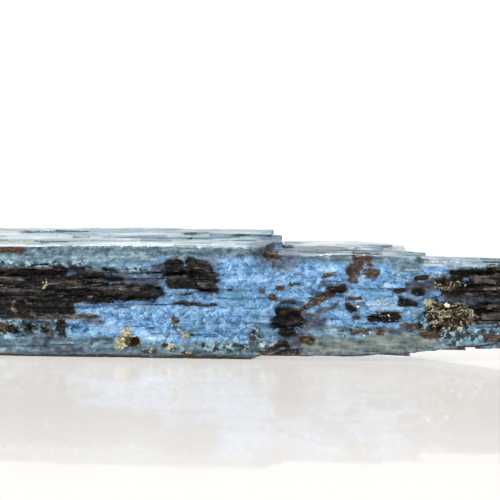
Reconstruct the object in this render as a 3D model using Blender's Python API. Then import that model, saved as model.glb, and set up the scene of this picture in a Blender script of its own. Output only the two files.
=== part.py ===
"""A kyanite blade: one natural crystal, long and flat sided, lying on its lower edge.

It grew as a bundle of parallel laths, so it has ledges along its sides, thin cleavage sheets on top and
splintered ends. Dark mica grew into it: where it has crumbled there are ledged hollows, and small plates
of it are still held in some of them.
X runs along the blade, the front faces -Y and Z 0 is the surface that it lies on.
Sizes are in millimetres and become metres where a mesh is made.
"""

import math
import random

import bmesh
import bpy
from mathutils import Matrix, Vector

MM = 0.001

# Driving dimensions of the blade
LENGTH = 68.0
HALF = LENGTH / 2
DEPTH = 8.0
CREST_END = 0.9  # where the highest cleavage sheets break off
SHOULDER_END = 15.8  # where the sheets below them break off
LEAN = math.radians(5.0)  # the sides lean back, as the crystal is triclinic
BASAL_SLANT = math.tan(math.radians(11.1))  # the ends part along a plane tilted from square

# The flat stretch of the underside that it rests on
FOOT_LENGTH = 33.0
FOOT_LEFT = -31.5
FOOT_DEPTH = DEPTH * 0.84
FOOT_MIDDLE = -0.95  # nearer the front, where it is flush with the face
FOOT_HEIGHT = 1.2

# The bundle at stations along X: x, underside, top at the front, top at the back, depth
STATIONS = (
    (-HALF, 0.70, 9.3, 9.3, DEPTH * 0.90),
    (-28.0, 0.25, 9.8, 9.6, DEPTH * 0.97),
    (-14.0, 0.25, 10.0, 9.7, DEPTH * 1.00),
    (4.0, 0.40, 10.0, 9.7, DEPTH * 1.00),
    (10.0, 0.50, 10.0, 9.75, DEPTH * 0.97),
    (16.5, 0.85, 9.8, 9.45, DEPTH * 0.92),
    (25.0, 1.75, 9.7, 9.35, DEPTH * 0.83),
    (HALF, 3.50, 8.7, 8.3, DEPTH * 0.62),
)
UNDERSIDE, FRONT_TOP, BACK_TOP, DEPTH_THERE = 1, 2, 3, 4
MIDDLE_HEIGHT = 5.5

# Laths of the bundle, as shares of the depth (0 is the front) and of the height (0 is the underside)
COLUMNS = (0.0, 0.34, 0.69, 1.0)
LAYERS = (0.0, 0.21, 0.40, 0.62, 0.81, 1.0)
LATH_OVERLAP = 0.035
SIDE_WANDER = 0.026  # how far a lath's outer face stands in or out, as a share of the blade
EDGE_WANDER = 0.06  # how far each corner of a lath is from a straight edge
END_RAGGEDNESS = (3.4, 5.6)  # how much shorter a lath may be at its left and right end
END_CHIP = 0.5  # how uneven a broken end is
SPLINTERS = 8  # at each end

PROUD = 1.2  # how far a cutter stands out of the face that it cuts
INTO = {"front": Vector((0, 1, 0)), "back": Vector((0, -1, 0)), "top": Vector((0, 0, -1))}
UP_FACE = {"front": Vector((0, 0, 1)), "back": Vector((0, 0, 1)), "top": Vector((0, 1, 0))}


def between(x, column):
    """The value of one column of STATIONS at x."""
    for before, after in zip(STATIONS, STATIONS[1:]):
        if x <= after[0]:
            break
    share = (x - before[0]) / (after[0] - before[0])
    return before[column] + share * (after[column] - before[column])


def point(x, across, up):
    """A point of the bundle: across from front (0) to back (1), up from underside (0) to top (1)."""
    reach = max(-HALF, min(HALF, x))
    low = between(reach, UNDERSIDE)
    front_top, back_top = between(reach, FRONT_TOP), between(reach, BACK_TOP)
    top = front_top + across * (back_top - front_top)
    z = low + up * (top - low)
    y = (across - 0.5) * between(reach, DEPTH_THERE) + math.tan(LEAN) * (z - MIDDLE_HEIGHT)
    return Vector((x, y, z))


def top_rise(x):
    """How high the top sheets lie at x, as a share of the bundle's height."""
    if x < CREST_END:
        return 1.19
    return 1.09 if x < SHOULDER_END else 1.0


def face_point(side, x, along):
    """A point on the outside: along is its height on the front and back, and its y on top."""
    if side == "top":
        return point(x, along / between(x, DEPTH_THERE) + 0.5, top_rise(x))
    low = between(x, UNDERSIDE)
    across, top = (0.0, FRONT_TOP) if side == "front" else (1.0, BACK_TOP)
    return point(x, across, (along - low) / (between(x, top) - low))


def clear_scene():
    for obj in list(bpy.data.objects):
        bpy.data.objects.remove(obj)


def make_material(name, colour, roughness):
    material = bpy.data.materials.new(name)
    material.use_nodes = True
    shader = material.node_tree.nodes["Principled BSDF"]
    shader.inputs["Base Color"].default_value = (*colour, 1.0)
    shader.inputs["Roughness"].default_value = roughness
    shader.inputs["Metallic"].default_value = 0.0
    return material


def add_object(name, shape, collection, frame):
    """Makes an object of flat triangles from a bmesh in millimetres, with its faces pointing out."""
    bmesh.ops.recalc_face_normals(shape, faces=shape.faces)
    bmesh.ops.triangulate(shape, faces=shape.faces)
    bmesh.ops.scale(shape, vec=(MM, MM, MM), verts=shape.verts)
    mesh = bpy.data.meshes.new(name)
    shape.to_mesh(mesh)
    shape.free()
    obj = bpy.data.objects.new(name, mesh)
    collection.objects.link(obj)
    obj.parent = frame
    return obj


def add_helpers(name):
    """A collection of solids that only shape the blade."""
    collection = bpy.data.collections.new(name)
    collection.hide_render = True
    bpy.context.scene.collection.children.link(collection)
    return collection


def hide_helpers(collection):
    for obj in collection.objects:
        obj.hide_render = True
        obj.display_type = "WIRE"


def loft(rings):
    """A closed bmesh through rings of points, with a cap on each end."""
    shape = bmesh.new()
    loops = [[shape.verts.new(p) for p in ring] for ring in rings]
    count = len(loops[0])
    for ring, following in zip(loops, loops[1:]):
        for i in range(count):
            j = (i + 1) % count
            shape.faces.new((ring[i], ring[j], following[j], following[i]))
    shape.faces.new(loops[0])
    shape.faces.new(loops[-1])
    return shape


def lath(start, end, across, bottom, top, slant, wander, tips=(1.0, 1.0)):
    """A lath from x start to x end, its edges a little uneven and its ends broken off.

    across is its span of the depth. bottom and top are shares of the height, each one number or a
    pair for its front and its back. slant turns its broken ends, in millimetres over its depth, and
    tips says how much of its section is left at each end.
    """
    bottom_front, bottom_back = bottom if isinstance(bottom, tuple) else (bottom, bottom)
    top_front, top_back = top if isinstance(top, tuple) else (top, top)
    corners = (
        (across[0], bottom_front),
        (across[1], bottom_back),
        (across[1], top_back),
        (across[0], top_front),
    )
    middle_across = sum(corner[0] for corner in corners) / 4
    middle_up = sum(corner[1] for corner in corners) / 4

    def uneven(place):
        return place + Vector((0, wander.uniform(-1, 1), wander.uniform(-1, 1))) * EDGE_WANDER

    def broken_end(x, left):
        ring = []
        for share, up in corners:
            share = middle_across + left * (share - middle_across)
            up = middle_up + left * (up - middle_up)
            height = point(x, share, up).z - MIDDLE_HEIGHT
            shift = BASAL_SLANT * height + slant * (share - 0.5) + wander.uniform(-END_CHIP, END_CHIP)
            ring.append(uneven(point(x + shift, share, up)))
        return ring

    clear_of_ends = 3.2
    inner = [s[0] for s in STATIONS if start + clear_of_ends < s[0] < end - clear_of_ends]
    rings = [[uneven(point(x, share, up)) for share, up in corners] for x in inner]
    return loft([broken_end(start, tips[0]), *rings, broken_end(end, tips[1])])


def add_bundle(collection, frame):
    """The parallel laths: their sides stand in and out a little, and their ends are ragged."""
    wander = random.Random(31)
    for layer, (low, high) in enumerate(zip(LAYERS, LAYERS[1:])):
        for column, (near, far) in enumerate(zip(COLUMNS, COLUMNS[1:])):
            shift = [wander.uniform(-SIDE_WANDER, SIDE_WANDER) for _ in range(3)]
            front = near + shift[0] if column == 0 else near - LATH_OVERLAP
            back = far + shift[1] if far == 1.0 else far + LATH_OVERLAP
            bottom = low + abs(shift[2]) if layer == 0 else low - LATH_OVERLAP
            top = high + shift[2] if high == 1.0 else high + LATH_OVERLAP
            start = -HALF + wander.uniform(1.0, END_RAGGEDNESS[0])
            end = HALF - wander.uniform(1.0, END_RAGGEDNESS[1])
            shape = lath(start, end, (front, back), bottom, top, wander.uniform(-1.5, 1.5), wander)
            add_object(f"lath_{layer}_{column}", shape, collection, frame)


def add_long_laths(collection, frame):
    """The laths that reach the ends of the blade."""
    wander = random.Random(8)
    spans = (
        (-HALF + 0.7, 21.0, (0.10, 0.62), 0.28, 0.57, 0.8),
        (-30.0, HALF - 1.1, (0.30, 0.80), 0.37, 0.66, -1.2),
        (-25.0, HALF - 2.6, (0.12, 0.46), 0.55, 0.84, 0.9),
        (-HALF + 1.6, 10.0, (0.44, 0.90), 0.50, 0.78, -0.7),
    )
    for number, span in enumerate(spans):
        add_object(f"long_lath_{number}", lath(*span, wander), collection, frame)


def add_splinters(collection, frame):
    """Thin laths that stand out of the broken ends and narrow to their tips."""
    wander = random.Random(5)
    root = HALF - 10.0
    for number in range(SPLINTERS):
        for side in (-1, 1):
            near, low = wander.uniform(0.04, 0.80), wander.uniform(0.06, 0.84)
            across = (near, near + wander.uniform(0.09, 0.18))
            top = low + wander.uniform(0.06, 0.13)
            tip = HALF - wander.uniform(0.4, 4.6)
            narrowing = wander.uniform(0.25, 0.8)
            span, tips = ((root, tip), (1.0, narrowing)) if side > 0 else ((-tip, -root), (narrowing, 1.0))
            shape = lath(*span, across, low, top, wander.uniform(-1.0, 1.0), wander, tips)
            add_object(f"splinter_{number}_{'right' if side > 0 else 'left'}", shape, collection, frame)


def add_foot(collection, frame):
    """The flat lath that the blade rests on, its ends cut at a slant."""
    foot = bmesh.new()
    bmesh.ops.create_cube(foot, size=1.0)
    bmesh.ops.scale(foot, vec=(FOOT_LENGTH, FOOT_DEPTH, FOOT_HEIGHT), verts=foot.verts)
    middle = Vector((FOOT_LEFT + FOOT_LENGTH / 2, FOOT_MIDDLE, FOOT_HEIGHT / 2))
    bmesh.ops.translate(foot, vec=middle, verts=foot.verts)
    slant = 2.2 / FOOT_DEPTH
    for vertex in foot.verts:
        vertex.co.x += slant * vertex.co.y * math.copysign(1, vertex.co.x - middle.x)
    add_object("foot_lath", foot, collection, frame)


def add_sheets(collection, frame):
    """Cleavage sheets that lie on the top and sides and break off in steps."""
    wander = random.Random(17)
    top_sheets = (
        (-HALF + 1.0, SHOULDER_END, (0.03, 0.52), 0.88, (1.065, 1.09), 1.0),
        (-HALF + 2.6, SHOULDER_END - 1.2, (0.48, 1.01), 0.88, (1.085, 1.13), -1.3),
        (-HALF + 3.4, CREST_END, (0.00, 0.40), 0.95, (1.14, 1.17), 0.8),
        (-HALF + 1.7, CREST_END + 0.9, (0.36, 0.74), 0.95, (1.155, 1.21), -0.6),
        (-29.5, CREST_END - 0.8, (0.70, 0.985), 0.95, (1.205, 1.245), 0.9),
        (-26.0, -9.5, (0.52, 0.80), 0.98, (1.20, 1.235), 1.8),
        (4.0, 13.5, (0.55, 0.93), 0.90, (1.045, 1.06), 1.4),
    )
    front_sheets = (
        (-30.5, -5.5, (-0.046, 0.2), 0.02, 0.215, 0.5),
        (-HALF + 2.0, 1.0, (-0.030, 0.2), 0.86, 0.985, -0.6),
        (-9.0, 8.5, (-0.040, 0.2), 0.25, 0.46, 0.9),
        (-14.0, 2.6, (-0.055, 0.2), 0.07, 0.16, 0.2),
        (5.6, 20.5, (-0.052, 0.2), 0.03, 0.25, -0.8),
        (9.0, 27.5, (-0.034, 0.2), 0.79, 0.90, 0.7),
        (-6.0, 13.0, (-0.028, 0.2), 0.62, 0.88, -0.7),
        (-3.0, 6.5, (-0.048, 0.2), 0.70, 0.79, 0.4),
    )
    back_sheets = (
        (-29.0, -2.0, (0.8, 1.050), 0.62, 0.86, 0.8),
        (-21.0, 17.0, (0.8, 1.040), 0.10, 0.31, -0.9),
        (-3.5, 24.5, (0.8, 1.056), 0.48, 0.70, 0.6),
        (-HALF + 2.5, -12.0, (0.8, 1.034), 0.33, 0.50, -0.5),
        (2.0, 22.0, (0.8, 1.030), 0.78, 0.97, 0.9),
    )
    for side, sheets in (("top", top_sheets), ("front", front_sheets), ("back", back_sheets)):
        for number, sheet in enumerate(sheets):
            add_object(f"{side}_sheet_{number}", lath(*sheet, wander), collection, frame)


def add_hollow(name, place, half_size, roundness, collection, frame):
    """A faceted hollow: half_size is along, into and up the face, roundness its number of subdivisions."""
    shape = bmesh.new()
    bmesh.ops.create_icosphere(shape, subdivisions=roundness, radius=1.0)
    chips = random.Random(name)
    for vertex in shape.verts:
        squared = Vector((math.copysign(abs(axis) ** 0.7, axis) for axis in vertex.co))
        vertex.co = squared * chips.uniform(0.78, 1.08)
    bmesh.ops.scale(shape, vec=half_size, verts=shape.verts)
    bmesh.ops.rotate(shape, cent=(0, 0, 0), matrix=Matrix.Rotation(-LEAN, 3, "X"), verts=shape.verts)
    bmesh.ops.translate(shape, vec=place, verts=shape.verts)
    add_object(name, shape, collection, frame)


def add_hollows(collection, frame):
    """Rounded hollows where one lump of mica has fallen out."""
    # x, height (or distance from the middle on top), half length, depth, half height
    hollows = {
        "front": (
            (-17.2, 2.9, 1.0, 0.55, 0.55),
            (-21.9, 3.1, 1.5, 0.45, 0.60),
            (-12.0, 1.7, 0.9, 0.60, 0.65),
            (3.9, 4.5, 1.9, 0.66, 1.55),
            (3.7, 1.0, 1.7, 0.50, 0.22),
            (13.4, 4.3, 1.9, 0.52, 0.65),
            (10.9, 9.0, 1.4, 0.46, 0.95),
            (18.9, 4.7, 2.9, 0.60, 2.00),
            (7.6, 6.4, 2.2, 0.32, 0.50),
            (-2.2, 0.9, 1.2, 0.45, 0.40),
        ),
        "back": (
            (-3.0, 2.9, 2.6, 0.55, 1.00),
            (9.0, 5.0, 5.0, 0.55, 1.45),
            (16.0, 2.8, 1.3, 0.45, 0.60),
        ),
        "top": ((-22.0, 2.2, 1.6, 0.8, 0.50), (6.2, -1.8, 2.2, 1.0, 0.40), (20.0, 1.2, 2.6, 0.9, 0.40)),
    }
    for side, places in hollows.items():
        for number, (x, along, *half_size) in enumerate(places):
            place = face_point(side, x, along)
            add_hollow(f"{side}_hollow_{number}", place, half_size, 2, collection, frame)


def add_chips(collection, frame):
    """Shallow chips out of the cleavage faces, longer along the blade than across it."""
    scatter = random.Random(44)
    # the span of x and of height that they lie in, and how many
    fields = {"front": ((-27.0, 27.0), (1.6, 9.0), 14), "back": ((-29.0, 27.0), (2.0, 8.8), 6)}
    outward = 0.3  # so that a chip opens through the sheets too
    for side, (span, heights, count) in fields.items():
        for number in range(count):
            place = face_point(side, scatter.uniform(*span), scatter.uniform(*heights)) - outward * INTO[side]
            half_size = (scatter.uniform(0.5, 1.8), scatter.uniform(0.46, 0.60), scatter.uniform(0.25, 0.55))
            add_hollow(f"{side}_chip_{number}", place, half_size, 1, collection, frame)


def cutter_along(side, along, stations, section):
    """A long cutter: section(x) gives its points there as (into the face, up the face)."""
    rings = []
    for x in stations:
        face = face_point(side, x, along)
        rings.append([face + into * INTO[side] + up * UP_FACE[side] for into, up in section(x)])
    return loft(rings)


def spread(start, end, count):
    return [start + (end - start) * number / (count - 1) for number in range(count)]


def add_ledge_row(name, side, along, span, half, deep, collection, frame):
    """One row of a ledged hollow: a slot along the blade with an uneven floor."""
    chips = random.Random(name)
    stations = spread(*span, 4)

    def section(x):
        size = 0.3 if x in (stations[0], stations[-1]) else chips.uniform(0.75, 1.1)
        floor = deep * size
        return (
            (-PROUD, half),
            (floor, half * chips.uniform(0.7, 1.0)),
            (floor * chips.uniform(0.5, 1.0), -half * chips.uniform(0.7, 1.0)),
            (-PROUD, -half),
        )

    add_object(name, cutter_along(side, along, stations, section), collection, frame)


def add_ledged_hollows(collection, frame):
    """Long hollows with a ledge for each lath, where mica and thin laths have come away in rows."""
    scatter = random.Random(23)
    # side, x, height, half length, half height, depth, rows
    hollows = (
        ("front", -18.6, 6.9, 9.6, 2.20, 0.90, 8),
        ("front", -8.2, 7.75, 5.8, 1.05, 0.55, 4),
        ("front", 23.6, 7.0, 6.2, 2.15, 0.75, 7),
        ("front", -15.0, 4.1, 4.5, 0.55, 0.35, 2),
        ("front", 24.5, 3.9, 4.0, 0.50, 0.30, 2),
        ("back", -24.0, 4.2, 5.6, 1.60, 0.75, 4),
        ("back", -9.5, 8.2, 7.0, 1.10, 0.60, 3),
        ("back", 20.5, 6.8, 4.8, 1.30, 0.60, 3),
    )
    for number, (side, x, along, half_x, half_along, deep, rows) in enumerate(hollows):
        for row in range(rows):
            offset = 2 * (row + 0.5) / rows - 1
            reach = half_x * math.sqrt(1 - 0.75 * offset * offset)
            span = (x - reach * scatter.uniform(0.68, 1.05), x + reach * scatter.uniform(0.68, 1.05))
            half = half_along / rows * scatter.uniform(0.82, 1.25)
            height = along + offset * half_along
            name = f"{side}_ledge_{number}_{row}"
            add_ledge_row(name, side, height, span, half, deep * scatter.uniform(0.4, 1.0), collection, frame)


def add_groove(name, side, span, along, tall, deep, collection, frame):
    """A long narrow step between two laths: an upper wall that is nearly level and a sloping lower one."""
    chips = random.Random(name)
    stations = spread(*span, 4)

    def section(x):
        size = 0.15 if x in (stations[0], stations[-1]) else chips.uniform(0.6, 1.15)
        return (
            (-PROUD, 0.5 * tall * size),
            (deep * size, 0.5 * tall * size),
            (deep * size, 0.1 * tall * size),
            (-PROUD, -0.9 * tall * size),
        )

    add_object(name, cutter_along(side, along, stations, section), collection, frame)


def add_grooves(collection, frame):
    # start, end, height (or distance from the middle on top), how tall and how deep
    grooves = {
        "front": (
            (-29.0, -10.0, 9.15, 0.30, 0.50),
            (-28.0, -12.5, 4.55, 0.42, 0.70),
            (-12.5, 1.0, 5.25, 0.18, 0.35),
            (15.5, 31.0, 8.45, 0.28, 0.60),
            (6.0, 16.5, 6.6, 0.16, 0.35),
            (5.0, 19.0, 2.45, 0.20, 0.40),
            (-7.0, 4.0, 8.9, 0.16, 0.30),
        ),
        "back": (
            (-30.0, -12.0, 5.4, 0.35, 0.70),
            (-16.0, 5.0, 8.6, 0.30, 0.60),
            (-6.0, 19.0, 4.0, 0.32, 0.60),
            (7.0, 29.0, 7.2, 0.28, 0.60),
            (-27.0, 1.5, 2.1, 0.26, 0.50),
        ),
        "top": (
            (-27.0, -12.0, -2.1, 0.22, 0.30),
            (-18.0, -1.0, -0.4, 0.20, 0.26),
            (-29.0, -16.0, 0.9, 0.18, 0.26),
            (3.5, 13.0, 0.4, 0.22, 0.28),
            (17.0, 28.0, -0.6, 0.20, 0.26),
        ),
    }
    for side, places in grooves.items():
        for number, (start, end, along, tall, deep) in enumerate(places):
            name = f"{side}_groove_{number}"
            add_groove(name, side, (start, end), along, tall, deep, collection, frame)


def add_mica_plate(name, place, across, thick, turn, wander, collection, frame):
    """A six-sided book of mica plates, its outline uneven and its upper face the smaller."""
    rings = [[], []]
    for corner in range(6):
        angle = (corner + wander.uniform(-0.22, 0.22)) * math.tau / 6
        radius = across / 2 * wander.uniform(0.72, 1.12)
        direction = Vector((math.cos(angle), math.sin(angle), 0))
        for ring, size, height in zip(rings, (1.0, 0.88), (-thick / 2, thick / 2)):
            ring.append(turn @ (direction * radius * size + Vector((0, 0, height))) + place)
    add_object(name, loft(rings), collection, frame)


def add_mica_plates(collection, frame):
    # side, x and height of the cluster's middle, its half length and half height, number, plate size
    clusters = (
        ("front", 18.8, 4.7, 2.6, 1.7, 14, 1.40),
        ("front", 13.6, 4.3, 1.6, 0.5, 5, 0.80),
        ("front", -21.4, 3.1, 1.9, 0.7, 6, 0.85),
        ("front", -23.0, 5.4, 1.3, 0.7, 5, 1.00),
        ("front", -8.0, 2.0, 1.6, 0.6, 5, 0.65),
        ("front", 23.0, 3.6, 2.0, 0.5, 4, 0.75),
        ("back", -23.5, 4.0, 3.6, 1.0, 7, 1.20),
        ("back", 9.0, 4.8, 3.4, 1.0, 8, 1.25),
    )
    scatter = random.Random(16)
    sunk = 0.3
    for number, (side, x, along, half_x, half_along, count, size) in enumerate(clusters):
        for plate in range(count):
            angle = scatter.uniform(0, math.tau)
            reach = math.sqrt(scatter.random())
            spot = (x + half_x * reach * math.cos(angle), along + half_along * reach * math.sin(angle))
            place = face_point(side, *spot) + sunk * INTO[side]
            tip = Matrix.Rotation(scatter.uniform(0.7, 2.2), 3, "X")
            swing = Matrix.Rotation(scatter.uniform(-0.9, 0.9), 3, "Z")
            across = size * scatter.uniform(0.7, 1.3)
            thick = across * scatter.uniform(0.22, 0.38)
            name = f"mica_plate_{number}_{plate}"
            add_mica_plate(name, place, across, thick, swing @ tip, scatter, collection, frame)


def shape_with(blade, name, operation, collection, solver):
    """Joins or cuts the blade with a collection, then triangulates it so that every face stays flat."""
    modifier = blade.modifiers.new(name, "BOOLEAN")
    modifier.operation = operation
    modifier.operand_type = "COLLECTION"
    modifier.collection = collection
    modifier.solver = solver
    blade.modifiers.new(f"{name}_flat", "TRIANGULATE")


def centre_on_footprint(blade, frame):
    """Moves everything so that the origin is under the middle of the blade's box."""
    bpy.context.view_layer.update()
    graph = bpy.context.evaluated_depsgraph_get()
    corners = [Vector(corner) for corner in blade.evaluated_get(graph).bound_box]
    for axis in (0, 1):
        values = [corner[axis] for corner in corners]
        frame.location[axis] = -(min(values) + max(values)) / 2


def main():
    clear_scene()
    frame = bpy.data.objects.new("blade_frame", None)
    bpy.context.scene.collection.objects.link(frame)
    laths = add_helpers("laths")
    for add in (add_bundle, add_long_laths, add_splinters, add_foot, add_sheets):
        add(laths, frame)
    hollows = add_helpers("hollows")
    for add in (add_hollows, add_chips, add_ledged_hollows, add_grooves):
        add(hollows, frame)
    plates = add_helpers("mica_plates")
    add_mica_plates(plates, frame)
    for collection in (laths, hollows, plates):
        hide_helpers(collection)

    core = lath(-HALF + 3.5, HALF - 5.5, (0.16, 0.84), 0.12, 0.94, 0.0, random.Random(1))
    blade = add_object("kyanite_blade", core, bpy.context.scene.collection, frame)
    blade.data.materials.append(make_material("kyanite", (0.17, 0.33, 0.54), 0.35))
    shape_with(blade, "join_laths", "UNION", laths, "EXACT")
    shape_with(blade, "cut_hollows", "DIFFERENCE", hollows, "MANIFOLD")
    shape_with(blade, "join_mica", "UNION", plates, "MANIFOLD")
    centre_on_footprint(blade, frame)


main()
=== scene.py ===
"""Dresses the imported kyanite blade: the crystal, its mica and its splinters, on a glossy white sheet."""

import math
import random

import bmesh
import bpy
import numpy as np
from mathutils import Euler, Matrix, Vector, noise
from mathutils.bvhtree import BVHTree


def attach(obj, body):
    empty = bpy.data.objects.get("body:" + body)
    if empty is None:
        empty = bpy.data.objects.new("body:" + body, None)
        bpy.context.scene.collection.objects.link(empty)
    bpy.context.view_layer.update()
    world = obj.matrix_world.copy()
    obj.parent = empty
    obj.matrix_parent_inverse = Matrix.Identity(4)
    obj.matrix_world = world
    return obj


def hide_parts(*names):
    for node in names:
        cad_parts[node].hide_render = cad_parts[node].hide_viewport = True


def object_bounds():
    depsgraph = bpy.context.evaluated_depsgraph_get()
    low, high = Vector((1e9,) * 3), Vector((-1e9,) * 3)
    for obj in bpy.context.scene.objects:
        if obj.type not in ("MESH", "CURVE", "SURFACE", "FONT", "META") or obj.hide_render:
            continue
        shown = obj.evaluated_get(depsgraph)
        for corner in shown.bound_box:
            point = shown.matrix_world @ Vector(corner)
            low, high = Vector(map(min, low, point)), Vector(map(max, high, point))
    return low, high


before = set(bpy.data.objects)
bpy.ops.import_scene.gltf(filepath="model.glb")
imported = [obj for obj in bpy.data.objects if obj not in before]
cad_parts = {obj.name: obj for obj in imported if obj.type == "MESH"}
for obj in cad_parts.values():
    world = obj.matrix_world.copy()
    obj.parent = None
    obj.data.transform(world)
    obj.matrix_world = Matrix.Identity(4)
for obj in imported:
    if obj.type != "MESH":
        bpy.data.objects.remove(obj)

bl_info = {
    "name": "Kyanite blade",
    "version": (1, 0, 0),
    "blender": (4, 5, 0),
    "location": "View3D > Sidebar > Kyanite",
    "description": "Builds a long kyanite crystal with mica grown into it",
    "category": "Object",
}

NODE = "kyanite_blade"
BODY = "root"
MM = 0.001
CAD_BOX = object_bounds()
LOWEST = np.array(CAD_BOX[0])
HIGHEST = np.array(CAD_BOX[1])

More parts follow.
